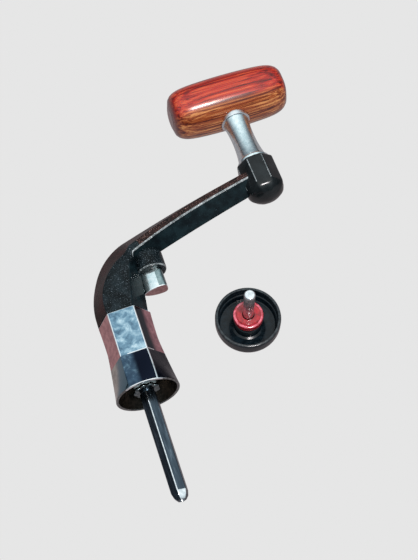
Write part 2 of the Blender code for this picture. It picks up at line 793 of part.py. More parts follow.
def knob_sleeve(parent):
    """Waisted sleeve: a flared foot on the hub, a collar under the T-bar and a tube that goes up into it."""
    foot, collar = sleeve_foot(), collar_top()
    bore = SPINDLE_RADIUS + RUNNING_GAP + BUSH_WALL + 0.2 * MM
    collar_low = collar - SLEEVE_COLLAR_LENGTH
    waist = foot + (collar_low - foot) * 0.6
    edge = 0.3 * MM
    profile = [(SLEEVE_FOOT_RADIUS - edge, foot), (SLEEVE_FOOT_RADIUS, foot + edge), (SLEEVE_FOOT_RADIUS, foot + 3 * edge)]
    steps = 6
    for k in range(1, steps + 1):
        s = k / steps
        reach = SLEEVE_WAIST_RADIUS + (SLEEVE_FOOT_RADIUS - edge - SLEEVE_WAIST_RADIUS) * (1 - s) ** 2.2
        profile.append((reach, foot + 3 * edge + (waist - foot - 3 * edge) * s))
    neck = SLEEVE_COLLAR_RADIUS - 2 * edge
    for k in range(1, steps + 1):
        s = k / steps
        profile.append((SLEEVE_WAIST_RADIUS + (neck - SLEEVE_WAIST_RADIUS) * s**2, waist + (collar_low - waist) * s))
    tube_top = bar_seat() - 2 * GAP
    washer_room = 2.2 * WASHER_THICKNESS
    profile += [
        (SLEEVE_COLLAR_RADIUS - edge, collar_low),
        (SLEEVE_COLLAR_RADIUS, collar_low + edge),
        (SLEEVE_COLLAR_RADIUS, collar),
        (SLEEVE_TUBE_RADIUS, collar),
        (SLEEVE_TUBE_RADIUS, tube_top),
        (bore, tube_top),
        (bore, foot + washer_room),
        (SLEEVE_WAIST_RADIUS + 2 * edge, foot + washer_room),
        (SLEEVE_WAIST_RADIUS + 2 * edge, foot),
    ]
    return placed("knob_sleeve", tube(profile), parent, finish=CHROME)


def knob_bushes(parent):
    inner = SPINDLE_RADIUS + RUNNING_GAP
    outer = inner + BUSH_WALL
    lower = sleeve_foot() + 2.2 * WASHER_THICKNESS + 0.2 * MM
    upper = bar_seat() - 2 * GAP - BUSH_LENGTH
    made = []
    for name, y in (("bush_lower", lower), ("bush_upper", upper)):
        loop = [(inner, y), (outer, y), (outer, y + BUSH_LENGTH), (inner, y + BUSH_LENGTH)]
        made.append(placed(name, tube(loop, sides=24), parent, finish=BRONZE))
    return made


def knob_washer(name, y, outer, parent):
    inner = SPINDLE_RADIUS + 0.2 * MM
    loop = [(inner, y), (outer, y), (outer, y + WASHER_THICKNESS), (inner, y + WASHER_THICKNESS)]
    return placed(name, tube(loop, sides=24), parent, finish=STEEL)


def nut_low():
    return bar_seat() + WASHER_THICKNESS + 2 * 0.2 * MM


def knob_nut(parent):
    bore = circle(SPINDLE_RADIUS + 0.2 * MM, 24)
    outline = divided(hexagon(NUT_FLATS), 4)
    low, high = nut_low(), nut_low() + NUT_THICKNESS
    rows = [ring_along("Y", points, y) for points, y in ((outline, low), (outline, high), (bore, high), (bore, low))]
    return placed("knob_nut", ring_tube(rows), parent, finish=STEEL)


def knob_spindle(parent):
    """Plain axle from the hub's blind bore up through the sleeve and the nut."""
    low, top = -SPINDLE_SEAT, nut_low() + NUT_THICKNESS + 0.4 * MM
    edge = 0.3 * MM
    profile = [
        (SPINDLE_RADIUS - edge, low),
        (SPINDLE_RADIUS, low + edge),
        (SPINDLE_RADIUS, top - edge),
        (SPINDLE_RADIUS - edge, top),
    ]
    return placed("knob_spindle", turned(profile, "Y", 24), parent, finish=STEEL)


def bar_section(u):
    """The T-bar's half depth and half breadth at u from -1 to 1 along its length."""
    barrel = (1 - 0.10 * u * u) * (1 - abs(u) ** 8) ** 0.25
    return BAR_HALF_DEPTH * barrel, BAR_HALF_BREADTH * barrel


def t_bar(parent):
    """Barrel-shaped wooden bar across the knob's axis, bored for the sleeve and counterbored for the nut."""
    stations = [-0.985, -0.96, -0.91, -0.84, -0.7, -0.5, -0.25]
    stations += [0.0] + [-u for u in reversed(stations)]
    rings = []
    for u in stations:
        depth, breadth = bar_section(u)
        rings.append(
            [
                Vector((u * BAR_HALF_LENGTH, BAR_HEIGHT + a, b))
                for a, b in superellipse(depth, breadth, 2.25, 28)
            ]
        )
    bar = placed("t_bar", lofted(rings), parent, finish=WOOD)
    tube_bore = SLEEVE_TUBE_RADIUS + 0.2 * MM
    seat = SLEEVE_COLLAR_RADIUS + 0.25 * MM
    nut_room = END_CAP_RADIUS + 0.25 * MM
    bore = placed(
        "bar_bore",
        turned(
            [
                (seat, BAR_HEIGHT - 2 * BAR_HALF_DEPTH),
                (seat, collar_top() + 0.2 * MM),
                (tube_bore, collar_top() + 0.2 * MM),
                (tube_bore, bar_seat() - GAP),
                (nut_room, bar_seat() - GAP),
                (nut_room, BAR_HEIGHT + 2 * BAR_HALF_DEPTH),
            ]
        ),
        parent,
    )
    boolean(bar, bore, "DIFFERENCE")
    return bar


def knob_end_cap(parent):
    """Domed plug over the nut."""
    high = BAR_HEIGHT + BAR_HALF_DEPTH + 0.1 * MM
    low = high - END_CAP_THICKNESS
    shape = turned(
        [
            (END_CAP_RADIUS - 0.2 * MM, low),
            (END_CAP_RADIUS, low + 0.2 * MM),
            (END_CAP_RADIUS, high - 0.5 * MM),
            (END_CAP_RADIUS * 0.8, high - 0.15 * MM),
            (END_CAP_RADIUS * 0.4, high),
        ]
    )
    return placed("knob_end_cap", shape, parent, finish=CHROME)


def cap_shell(parent):
    """Black bowl with a rounded foot, a lip, a stepped wall and a central boss with the stud's hole."""
    hole = STUD_RADIUS + 0.2 * MM
    inner = CAP_RADIUS - CAP_WALL
    foot = CAP_BASE_RADIUS
    nut_room = hole + 1.9 * MM
    profile = [
        (nut_room, 0),
        (foot - 1.2 * MM, 0),
        (foot, 0.45 * MM),
        (foot + (CAP_RADIUS - foot) * 0.55, 1.9 * MM),
        (CAP_RADIUS - 0.25 * MM, CAP_HEIGHT * 0.55),
        (CAP_RADIUS, CAP_HEIGHT - 0.7 * MM),
        (CAP_RADIUS - 0.3 * MM, CAP_HEIGHT - 0.1 * MM),
        (CAP_RADIUS - 0.6 * MM, CAP_HEIGHT),
        (inner + 0.25 * MM, CAP_HEIGHT),
        (inner, CAP_HEIGHT - 0.4 * MM),
        (inner, CAP_FLOOR + 2.6 * MM),
        (inner - 0.35 * MM, CAP_FLOOR + 2.4 * MM),
        (inner - 0.5 * MM, CAP_FLOOR + 0.6 * MM),
        (inner - 1.1 * MM, CAP_FLOOR),
        (CAP_BOSS_RADIUS + 2.2 * MM, CAP_FLOOR),
        (CAP_BOSS_RADIUS + 0.9 * MM, CAP_FLOOR - 0.3 * MM),
        (CAP_BOSS_RADIUS + 0.2 * MM, CAP_FLOOR),
        (CAP_BOSS_RADIUS, CAP_BOSS_HEIGHT - 0.3 * MM),
        (CAP_BOSS_RADIUS - 0.3 * MM, CAP_BOSS_HEIGHT),
        (hole, CAP_BOSS_HEIGHT),
        (hole, CAP_FLOOR),
        (nut_room, CAP_FLOOR),
    ]
    return placed("cap_shell", tube(profile, "Z", 48), parent, finish=PLASTIC)


def insert_low():
    return CAP_BOSS_HEIGHT + 0.25 * MM


def cap_insert(parent):
    """Red disc on the boss, around the stud."""
    hole = STUD_RADIUS + 0.25 * MM
    low, high = insert_low(), insert_low() + INSERT_THICKNESS
    profile = [
        (hole, low),
        (INSERT_RADIUS - 0.3 * MM, low),
        (INSERT_RADIUS, low + 0.3 * MM),
        (INSERT_RADIUS, high - 0.5 * MM),
        (INSERT_RADIUS - 0.45 * MM, high),
        (INSERT_RADIUS - 0.9 * MM, high - 0.15 * MM),
        (hole + 0.8 * MM, high - 0.15 * MM),
        (hole, high),
    ]
    return placed("cap_insert", tube(profile, "Z"), parent, finish=RED)


def cap_stud(parent):
    """Steel stud from the shell's underside to its chamfered end."""
    top = insert_low() + INSERT_THICKNESS + STUD_LENGTH
    shape = turned(
        [
            (STUD_RADIUS - 0.3 * MM, 0.35 * MM),
            (STUD_RADIUS, 0.6 * MM),
            (STUD_RADIUS, top - 0.45 * MM),
            (STUD_RADIUS - 0.4 * MM, top),
        ],
        "Z",
    )
    return placed("cap_stud", shape, parent, finish=STEEL)


def cap_stud_nut(parent):
    """Thin ring nut in the recess of the shell's underside."""
    inner = STUD_RADIUS + 0.2 * MM
    outer = inner + 1.6 * MM
    low, high = 0.4 * MM, CAP_FLOOR - 0.25 * MM
    loop = [(inner, low), (outer, low), (outer, high), (inner, high)]
    return placed("cap_stud_nut", tube(loop, "Z", 24), parent, finish=STEEL)


def points_of(obj, space):
    """An object's evaluated vertices in the coordinates of an empty."""
    graph = bpy.context.evaluated_depsgraph_get()
    evaluated = obj.evaluated_get(graph)
    mesh = evaluated.to_mesh()
    local = np.array([v.co for v in mesh.vertices])
    evaluated.to_mesh_clear()
    matrix = np.array(space.matrix_world.inverted() @ obj.matrix_world)
    return local @ matrix[:3, :3].T + matrix[:3, 3]


def settle(handle, knob, shank, arm, bar, others):
    """Lays the crank on the bell's rim, the elbow and the T-bar, with the shaft along -Y, and the T-bar level."""
    up = Vector((0, 0, 1))
    for _ in range(6):
        bpy.context.view_layer.update()
        lowest = []
        for obj in (shank, arm, bar):
            points = points_of(obj, handle)
            lowest.append(Vector(points[np.argmin(points @ np.array(up))]))
        up = (lowest[1] - lowest[0]).cross(lowest[2] - lowest[0]).normalized()
        up = up if up.z > 0 else -up
        across = Vector((cos(KNOB_LEAN), sin(KNOB_LEAN), 0))
        knob.rotation_euler = (0, atan2(up.dot(across), up.z), 0)
    bpy.context.view_layer.update()
    along = Vector((0, 1, 0))
    y_axis = (along - up * along.dot(up)).normalized()
    x_axis = y_axis.cross(up)
    drop = min((points_of(obj, handle) @ np.array(up)).min() for obj in (shank, arm, bar, *others))
    rotation = Matrix((x_axis, y_axis, up)).to_4x4()
    handle.matrix_local = Matrix.Translation((0, 0, -drop)) @ rotation
    bpy.context.view_layer.update()


def centre_on_origin(frame, objects):
    """Moves the whole so that its box stands on z = 0 with its middle over the origin."""
    points = np.vstack([points_of(obj, frame) for obj in objects])
    low, high = points.min(axis=0), points.max(axis=0)
    frame.location = (-(low[0] + high[0]) / 2, -(low[1] + high[1]) / 2, -low[2])
    bpy.context.view_layer.update()


def main():
    clear_scene()
    table = empty("table_frame")
    handle = empty("handle_frame", table)
    knob_axis = empty("knob_axis", handle, (KNOB_X, hub_top_y(), 0))
    knob_axis.rotation_euler = (0, 0, KNOB_LEAN)
    knob = empty("knob_frame", knob_axis)
    cap = empty("cap_frame", table, (CAP_X, CAP_Y, 0))
    bpy.context.view_layer.update()

    shank = shank_bell(handle)
    shaft = drive_shaft(handle)
    arm = crank_arm(handle, knob_axis)
    bar = t_bar(knob)
    pieces = [
        shaft_lock_ring(handle),
        fold_hinge_pin(handle),
        release_button(handle),
        lock_pawl(handle),
        button_spring(handle),
        button_stop_pin(handle),
        knob_spindle(knob_axis),
        knob_washer("thrust_washer", sleeve_foot() + 0.2 * MM, SLEEVE_WAIST_RADIUS, knob_axis),
        knob_washer("retaining_washer", bar_seat() + 0.2 * MM, END_CAP_RADIUS - 0.3 * MM, knob_axis),
        knob_nut(knob_axis),
        knob_sleeve(knob),
        *knob_bushes(knob),
        knob_end_cap(knob),
    ]
    cap_pieces = [cap_shell(cap), cap_insert(cap), cap_stud(cap), cap_stud_nut(cap)]
    settle(handle, knob, shank, arm, bar, [shaft])
    centre_on_origin(table, [shank, shaft, arm, bar, *pieces, *cap_pieces])


main()
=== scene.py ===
import json
from math import acos, atan2, cos, pi, radians, sin

import bmesh
import bpy
from mathutils import Matrix, Vector


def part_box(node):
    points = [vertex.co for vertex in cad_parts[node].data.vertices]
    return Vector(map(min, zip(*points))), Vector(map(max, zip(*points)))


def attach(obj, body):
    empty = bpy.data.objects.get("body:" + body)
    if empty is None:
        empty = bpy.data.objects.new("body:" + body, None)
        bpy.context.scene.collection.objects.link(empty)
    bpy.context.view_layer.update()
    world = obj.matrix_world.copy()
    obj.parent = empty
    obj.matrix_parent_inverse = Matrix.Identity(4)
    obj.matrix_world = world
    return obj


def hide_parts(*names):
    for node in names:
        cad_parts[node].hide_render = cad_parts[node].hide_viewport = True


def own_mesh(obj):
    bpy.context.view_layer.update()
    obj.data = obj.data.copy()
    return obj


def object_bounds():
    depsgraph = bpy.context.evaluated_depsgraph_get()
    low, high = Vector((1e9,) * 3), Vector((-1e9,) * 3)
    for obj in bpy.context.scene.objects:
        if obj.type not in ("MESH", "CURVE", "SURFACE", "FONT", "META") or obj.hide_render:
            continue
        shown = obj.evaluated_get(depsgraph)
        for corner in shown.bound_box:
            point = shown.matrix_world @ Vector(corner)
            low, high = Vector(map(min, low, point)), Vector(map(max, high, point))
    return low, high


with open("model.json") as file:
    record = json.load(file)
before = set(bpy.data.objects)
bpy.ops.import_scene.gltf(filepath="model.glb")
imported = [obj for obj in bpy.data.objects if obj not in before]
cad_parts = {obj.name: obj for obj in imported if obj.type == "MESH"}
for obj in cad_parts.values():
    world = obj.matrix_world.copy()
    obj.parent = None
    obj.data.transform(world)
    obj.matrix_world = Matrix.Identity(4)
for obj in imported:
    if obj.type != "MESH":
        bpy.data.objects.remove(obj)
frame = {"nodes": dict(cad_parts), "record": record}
cad_box = [list(corner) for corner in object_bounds()]

# The crank's sizes, as in the part.
MM = 0.001
SEAM_Y, WAIST_Y, FLARE_Y = 27.3 * MM, 17.0 * MM, 11.6 * MM
SEAM_HALF_CORNER, WAIST_HALF_CORNER = 8.7 * MM, 8.4 * MM
HEX_HALF_FLAT, HEX_HEIGHT, FLARE_STEP = 4.35 * MM, 7.95 * MM, 0.15 * MM
BELL_RADIUS, BELL_WALL, BELL_DEPTH = 10.25 * MM, 0.9 * MM, 7.5 * MM
BOSS_RADIUS, BOSS_Y = 3.7 * MM, 2.6 * MM
SHAFT_FLATS, SHAFT_LENGTH, SHAFT_ROLL = 4.8 * MM, 35.6 * MM, radians(8)
SHAFT_ROOT_Y, SHAFT_NECK_RADIUS, SHAFT_SEAT = 0.4 * MM, 2.0 * MM, 8.0 * MM
LOCK_RING_RADIUS, LOCK_RING_TEETH = 3.7 * MM, 9
LOCK_RING_TOOTH, LOCK_RING_THICKNESS = 0.65 * MM, 1.1 * MM
TIP_LENGTH, TIP_FLATS = 2.6 * MM, 2.5 * MM
PIVOT_X, PIVOT_ABOVE_SEAM = 6.1 * MM, 3.6 * MM
TONGUE_RADIUS, TONGUE_THICKNESS = 3.2 * MM, 2.6 * MM
HINGE_PIN_RADIUS, HINGE_PIN_TOP = 1.1 * MM, 2.2 * MM
TONGUE_RIGHT_INSET, SEAM_CLEARANCE = 0.85 * MM, 0.12 * MM
ARM_RISE, ARM_BOW = radians(14.4), 0.45 * MM
ELBOW_INNER_X, ELBOW_INNER_Y, ELBOW_INNER_RADIUS = 10.4 * MM, 43.2 * MM, 1.6 * MM
ELBOW_TOP_WIDTH, ELBOW_SWELL = 11.7 * MM, 3.9 * MM
ARM_HUB_WIDTH, ARM_HUB_HEIGHT, EDGE = 8.9 * MM, 4.5 * MM, 0.35 * MM
KNOB_X, KNOB_LEAN = 57.35 * MM, radians(1.5)
HUB_FLATS, HUB_FACET_LENGTH, HUB_LENGTH = 12.4 * MM, 10.3 * MM, 14.7 * MM
SPINDLE_RADIUS, SPINDLE_SEAT, BUSH_WALL = 1.5 * MM, 10.5 * MM, 0.8 * MM
SLEEVE_FOOT_RADIUS, SLEEVE_WAIST_RADIUS = 5.6 * MM, 3.95 * MM
SLEEVE_COLLAR_RADIUS, SLEEVE_COLLAR_LENGTH = 5.1 * MM, 1.7 * MM
SLEEVE_TUBE_RADIUS, WASHER_THICKNESS = 3.7 * MM, 0.4 * MM
BAR_HEIGHT, BAR_HALF_LENGTH = 27.85 * MM, 20.7 * MM
BAR_HALF_DEPTH, BAR_HALF_BREADTH = 8.65 * MM, 9.9 * MM
BAR_SEAT, COLLAR_SINK = 3.6 * MM, 1.0 * MM
END_CAP_RADIUS, END_CAP_THICKNESS = 4.2 * MM, 1.2 * MM
BUTTON_X, BUTTON_Y, BUTTON_LENGTH = 14.0 * MM, 33.5 * MM, 10.0 * MM
BUTTON_LEFT, BUTTON_RIGHT, BUTTON_HALF_DEPTH = 5.5 * MM, 2.55 * MM, 2.55 * MM
BUTTON_TRAVEL = 2.6 * MM
BUTTON_BOSS_X, BUTTON_BOSS_RADIUS, BUTTON_BOSS_Y = 13.25 * MM, 4.95 * MM, 40.4 * MM
BUTTON_BOSS_LENGTH, BUTTON_GAP = 8.5 * MM, 0.16 * MM
SPIGOT_RADIUS, SPIGOT_LENGTH = 1.05 * MM, 1.2 * MM
SPRING_RADIUS, SPRING_WIRE, SPRING_TURNS = 1.45 * MM, 0.4 * MM, 3
SPRING_BORE_RADIUS, SPRING_ROOM, SPRING_LIFT = 1.9 * MM, 4.0 * MM, 0.1 * MM
STOP_PIN_ABOVE_BOSS, STOP_PIN_HOLE_RADIUS = 2.4 * MM, 0.8 * MM
STOP_SLOT_HALF, STOP_SLOT_TOP = 0.82 * MM, 1.55 * MM
PAWL_WIDTH, PAWL_HALF_DEPTH, PAWL_DROP, PAWL_LEFT = 2.4 * MM, 1.0 * MM, 1.2 * MM, 0.5 * MM
CAP_RADIUS, CAP_HEIGHT, CAP_BASE_RADIUS = 10.6 * MM, 7.9 * MM, 8.6 * MM
CAP_WALL, CAP_FLOOR = 1.0 * MM, 2.0 * MM
CAP_BOSS_RADIUS, CAP_BOSS_HEIGHT = 4.3 * MM, 7.0 * MM
INSERT_RADIUS, INSERT_THICKNESS = 4.85 * MM, 2.5 * MM
STUD_RADIUS, STUD_LENGTH = 1.75 * MM, 14.5 * MM
GAP, RUNNING_GAP, FIT_GAP = 0.3 * MM, 0.22 * MM, 0.2 * MM

# How far a cut runs past what it cuts.
DOWN, ACROSS, FAR = 9 * MM, 12 * MM, 14 * MM

# Frames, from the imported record.
joints = {joint["name"]: joint for joint in frame["record"]["behaviour"]["joints"]}


def frame_matrix(origin, x, y, z):
    return Matrix.Translation(origin) @ Matrix((x, y, z)).transposed().to_4x4()


z_axis = -Vector(joints["fold_hinge"]["axis"]).normalized()
y_axis = Vector(joints["button_press"]["axis"]).normalized()
x_axis = y_axis.cross(z_axis).normalized()
pivot = Vector(joints["fold_hinge"]["pos_m"])
handle_origin = pivot - x_axis * PIVOT_X - y_axis * (SEAM_Y + PIVOT_ABOVE_SEAM)
HANDLE = frame_matrix(handle_origin, x_axis, y_axis, z_axis)
knob_axis = Vector(joints["knob_spin"]["axis"]).normalized()
knob_origin = Vector(joints["knob_spin"]["pos_m"]) - knob_axis * BAR_HEIGHT
hub_top_y = (knob_origin - handle_origin).dot(y_axis)
HUB = HANDLE @ Matrix.Translation((KNOB_X, hub_top_y, 0)) @ Matrix.Rotation(KNOB_LEAN, 4, "Z")
knob_x = knob_axis.cross(Vector((0, 0, 1))).normalized()
KNOB = frame_matrix(knob_origin, knob_x, knob_axis, knob_x.cross(knob_axis))
cap_low, cap_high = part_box("cap_shell")
CAP = Matrix.Translation(((cap_low.x + cap_high.x) / 2, (cap_low.y + cap_high.y) / 2, 0))


# Materials

def new_tree(name):
    made = bpy.data.materials.new(name)
    made.use_nodes = True
    return made, made.node_tree, made.node_tree.nodes["Principled BSDF"]


def local_coordinates(tree, space, scale):
    """Object coordinates turned into a piece's own frame, then scaled."""
    source = tree.nodes.new("ShaderNodeTexCoord")
    inverse = space.inverted()
    turn = tree.nodes.new("ShaderNodeMapping")
    turn.inputs["Location"].default_value = inverse.translation
    turn.inputs["Rotation"].default_value = inverse.to_euler("XYZ")
    tree.links.new(source.outputs["Object"], turn.inputs["Vector"])
    stretch = tree.nodes.new("ShaderNodeMapping")
    stretch.inputs["Scale"].default_value = scale
    tree.links.new(turn.outputs["Vector"], stretch.inputs["Vector"])
    return turn.outputs["Vector"], stretch.outputs["Vector"]


def noise(tree, vector, scale, detail=4.0, rough=0.55, distortion=0.0):
    node = tree.nodes.new("ShaderNodeTexNoise")
    node.inputs["Scale"].default_value = scale
    node.inputs["Detail"].default_value = detail
    node.inputs["Roughness"].default_value = rough
    node.inputs["Distortion"].default_value = distortion
    tree.links.new(vector, node.inputs["Vector"])
    return node.outputs["Fac"]


def ramp(tree, value, stops):
    node = tree.nodes.new("ShaderNodeValToRGB")
    points = node.color_ramp.elements
    while len(points) < len(stops):
        points.new(0.5)
    for point, (place, colour) in zip(points, stops):
        point.position = place
        point.color = (*colour, 1)
    tree.links.new(value, node.inputs["Fac"])
    return node.outputs["Color"]


def ranged(tree, value, low, high, to_low, to_high):
    node = tree.nodes.new("ShaderNodeMapRange")
    node.interpolation_type = "SMOOTHSTEP"
    for name, number in (("From Min", low), ("From Max", high), ("To Min", to_low), ("To Max", to_high)):
        node.inputs[name].default_value = number
    tree.links.new(value, node.inputs["Value"])
    return node.outputs["Result"]


def mixed(tree, factor, a, b):
    node = tree.nodes.new("ShaderNodeMix")
    node.data_type = "RGBA"
    tree.links.new(factor, node.inputs["Factor"])
    for socket, value in ((node.inputs["A"], a), (node.inputs["B"], b)):
        if isinstance(value, tuple):
            socket.default_value = (*value, 1)
        else:
            tree.links.new(value, socket)
    return node.outputs["Result"]


def bump(tree, shader, height, strength, distance):
    node = tree.nodes.new("ShaderNodeBump")
    node.inputs["Strength"].default_value = strength
    node.inputs["Distance"].default_value = distance
    tree.links.new(height, node.inputs["Height"])
    tree.links.new(node.outputs["Normal"], shader.inputs["Normal"])


def uneven_polish(tree, shader, vector, scale, rough):
    polish = ranged(tree, noise(tree, vector, scale, 3.0), 0.3, 0.7, *rough)
    tree.links.new(polish, shader.inputs["Roughness"])


def metal(
    name,
    stops,
    space=HANDLE,
    rough=(0.08, 0.2),
    scale=(1, 1, 1),
    size=900,
    wave=0.12,
    metallic=1.0,
    layer=None,
):
    """Plated or bare metal: mottled tone, uneven polish and slight waviness; on the shank and button chrome
    the tone is painted reflection, highlight and shade.

    A layer is (axis, low, high, tone): the tone takes over between two places along an axis; the shank's
    chrome uses it for painted shade and reflection.
    """
    made, tree, shader = new_tree(name)
    place, vector = local_coordinates(tree, space, scale)
    blotch = noise(tree, vector, size, 5.0, 0.6, 0.4)
    tone = ramp(tree, blotch, stops)
    if layer:
        axis, low, high, upper = layer
        apart = tree.nodes.new("ShaderNodeSeparateXYZ")
        tree.links.new(place, apart.inputs["Vector"])
        tone = mixed(tree, ranged(tree, apart.outputs[axis], low, high, 0, 1), tone, upper)
    tree.links.new(tone, shader.inputs["Base Color"])
    uneven_polish(tree, shader, vector, size * 3, rough)
    shader.inputs["Metallic"].default_value = metallic
    bump(tree, shader, noise(tree, vector, size * 0.8, 3.0), wave, 0.0002)
    return made


def paint(name, base, tint, fleck, fleck_share=0.66, rough=(0.2, 0.34), space=HANDLE, coat=0.12, gloss=0.22):
    """Gloss paint over cast metal: two tones, fine pale flecks and a slight orange peel."""
    made, tree, shader = new_tree(name)
    _, vector = local_coordinates(tree, space, (1, 1, 1))
    tone = mixed(tree, ranged(tree, noise(tree, vector, 260, 4.0, 0.6), 0.35, 0.7, 0, 1), base, tint)
    spots = ranged(tree, noise(tree, vector, 3800, 2.0, 0.5), fleck_share, fleck_share + 0.05, 0, 1)
    tree.links.new(mixed(tree, spots, tone, fleck), shader.inputs["Base Color"])
    uneven_polish(tree, shader, vector, 1500, rough)
    shader.inputs["Coat Weight"].default_value = coat
    shader.inputs["Coat Roughness"].default_value = 0.08
    shader.inputs["Specular IOR Level"].default_value = gloss
    bump(tree, shader, noise(tree, vector, 1900, 2.0), 0.12, 0.0001)
    return made


def plain(name, colour, tint, rough, metallic, size=1200, coat=0.0, space=HANDLE, wave=0.06, gloss=0.5):
    """Moulded plastic: two close tones and a faint unevenness."""
    made, tree, shader = new_tree(name)
    _, vector = local_coordinates(tree, space, (1, 1, 1))
    tone = mixed(tree, ranged(tree, noise(tree, vector, size, 4.0), 0.35, 0.65, 0, 1), colour, tint)
    tree.links.new(tone, shader.inputs["Base Color"])
    uneven_polish(tree, shader, vector, size * 2, rough)
    shader.inputs["Metallic"].default_value = metallic
    shader.inputs["Coat Weight"].default_value = coat
    shader.inputs["Coat Roughness"].default_value = 0.06
    shader.inputs["Specular IOR Level"].default_value = gloss
    bump(tree, shader, noise(tree, vector, size, 3.0), wave, 0.0001)
    return made


def wood():
    """Lacquered wood: red above the middle and orange-brown below as painted light and shade, dark
    lengthwise grain and darker ends.
    """
    made, tree, shader = new_tree("bar_wood")
    place, vector = local_coordinates(tree, KNOB, (22, 1150, 1150))
    grain = noise(tree, vector, 1.0, 5.0, 0.66, 0.35)
    _, fine_vector = local_coordinates(tree, KNOB, (75, 3600, 3600))
    pores = noise(tree, fine_vector, 1.0, 3.0, 0.6, 0.3)
    _, broad_vector = local_coordinates(tree, KNOB, (28, 240, 240))
    broad = noise(tree, broad_vector, 1.0, 3.0, 0.5, 0.6)
    reds = (0.09, 0.004, 0.003), (0.46, 0.016, 0.007), (0.66, 0.095, 0.03)
    browns = (0.08, 0.010, 0.005), (0.32, 0.066, 0.018), (0.72, 0.30, 0.10)
    red = ramp(tree, grain, list(zip((0.38, 0.5, 0.62), reds)))
    brown = ramp(tree, grain, list(zip((0.38, 0.5, 0.62), browns)))
    apart = tree.nodes.new("ShaderNodeSeparateXYZ")
    tree.links.new(place, apart.inputs["Vector"])
    level = tree.nodes.new("ShaderNodeMath")
    level.operation = "MULTIPLY_ADD"
    level.inputs[1].default_value = 0.004
    tree.links.new(broad, level.inputs[0])
    tree.links.new(apart.outputs["Y"], level.inputs[2])
    # The split between the red upper face and the orange-brown lower face is painted light and shade, set
    # near the bar's highlight.
    edge = BAR_HEIGHT - 3.2 * MM
    share = ranged(tree, level.outputs["Value"], edge - 0.9 * MM, edge + 1.3 * MM, 0, 1)
    body = mixed(tree, share, brown, red)
    spots = ranged(tree, pores, 0.56, 0.66, 0, 0.75)
    streaked = mixed(tree, spots, body, (0.055, 0.006, 0.004))
    ends = tree.nodes.new("ShaderNodeMath")
    ends.operation = "ABSOLUTE"
    tree.links.new(apart.outputs["X"], ends.inputs[0])
    dark = ranged(tree, ends.outputs["Value"], BAR_HALF_LENGTH * 0.86, BAR_HALF_LENGTH * 0.99, 0, 0.8)
    tree.links.new(mixed(tree, dark, streaked, (0.10, 0.010, 0.010)), shader.inputs["Base Color"])
    tree.links.new(ranged(tree, grain, 0.3, 0.7, 0.34, 0.22), shader.inputs["Roughness"])
    shader.inputs["Specular IOR Level"].default_value = 0.25
    shader.inputs["Coat Weight"].default_value = 0.8
    shader.inputs["Coat Roughness"].default_value = 0.2
    bump(tree, shader, pores, 0.12, 0.0001)
    return made


def two_tone(dark, light):
    return [(0.3, dark), (0.6, light)]


# Painted reflection on the shank's front flats: blue-white over dark navy, in place of the surroundings seen
# in the chrome.
FRONT_REFLECTION = [
    (0.32, (0.07, 0.13, 0.20)),
    (0.5, (0.20, 0.34, 0.45)),
    (0.62, (0.45, 0.62, 0.72)),
    (0.75, (0.85, 0.95, 1.0)),
]
# Painted reflection, dark navy with blue, on the bell's lower front.
LOWER_REFLECTION = [(0.35, (0.045, 0.075, 0.12)), (0.55, (0.09, 0.15, 0.22)), (0.7, (0.30, 0.45, 0.55))]
DARK_STEEL = [(0.3, (0.045, 0.06, 0.08)), (0.55, (0.09, 0.12, 0.15)), (0.7, (0.20, 0.25, 0.30))]

# Painted reflection of a reddish surround: dusty rose on the shank's left and right facets.
LEFT_ROSE_REFLECTION = two_tone((0.42, 0.20, 0.22), (0.78, 0.42, 0.42))
RIGHT_ROSE_REFLECTION = two_tone((0.36, 0.17, 0.20), (0.70, 0.36, 0.40))
# Painted reflection, grey-beige, on the bell's left facets.
BEIGE_REFLECTION = two_tone((0.30, 0.30, 0.28), (0.62, 0.60, 0.54))
# Painted highlight: near-white lines on the chrome's rounded edges, the seam, the mouth's front, the kink at
# the flare and the button's bevel.
EDGE_HIGHLIGHT = two_tone((0.80, 0.86, 0.90), (0.97, 0.99, 1.0))
# Painted reflection, dark grey, on the bell mouth's rim away from its front.
RIM_REFLECTION = two_tone((0.10, 0.11, 0.11), (0.30, 0.31, 0.31))
# Painted shade: dark inside the bell.
INSIDE_SHADE = two_tone((0.03, 0.034, 0.032), (0.11, 0.095, 0.08))
# Painted highlight: teal-white on the boss inside the bell.
BOSS_HIGHLIGHT = two_tone((0.36, 0.52, 0.54), (0.70, 0.86, 0.88))
# Painted shade: the lock ring's steel darkened where it sits deep in the bell.
RING_SHADE = two_tone((0.05, 0.07, 0.075), (0.17, 0.21, 0.22))
SLEEVE_TONES = two_tone((0.56, 0.70, 0.74), (0.88, 0.98, 1.0))
# Lit and shaded copies of the button's chrome: painted light on the slanted face, painted shade on the full
# face, and painted shade with a reddish reflection on the end.
BUTTON_LIT = two_tone((0.62, 0.78, 0.80), (0.92, 0.99, 1.0))
BUTTON_SHADED = two_tone((0.16, 0.24, 0.25), (0.34, 0.44, 0.45))
BUTTON_END_SHADE = two_tone((0.30, 0.16, 0.16), (0.55, 0.32, 0.32))
# Bright steel for the small steel parts; the same tone is a painted highlight on the shaft's ridge and tip
# and on the stud's end.
BRIGHT_STEEL_AND_HIGHLIGHT = two_tone((0.55, 0.60, 0.64), (0.92, 0.96, 0.98))
STUD_TONES = two_tone((0.40, 0.44, 0.45), (0.72, 0.76, 0.77))
BRONZE = two_tone((0.40, 0.25, 0.11), (0.60, 0.40, 0.20))

# Painted shade and reflection over the chrome tones: darker towards the front on the right facets, bluish
# towards the front on the bell's left facets, dark navy over the right of the bell's lower front.
right_top_shade = ("Z", 2.6 * MM, 5.2 * MM, (0.02, 0.03, 0.045))
beige_top_reflection = ("Z", 3.0 * MM, 6.5 * MM, (0.16, 0.27, 0.33))
lower_dark_reflection = ("X", -1.6 * MM, 0.2 * MM, (0.012, 0.016, 0.03))
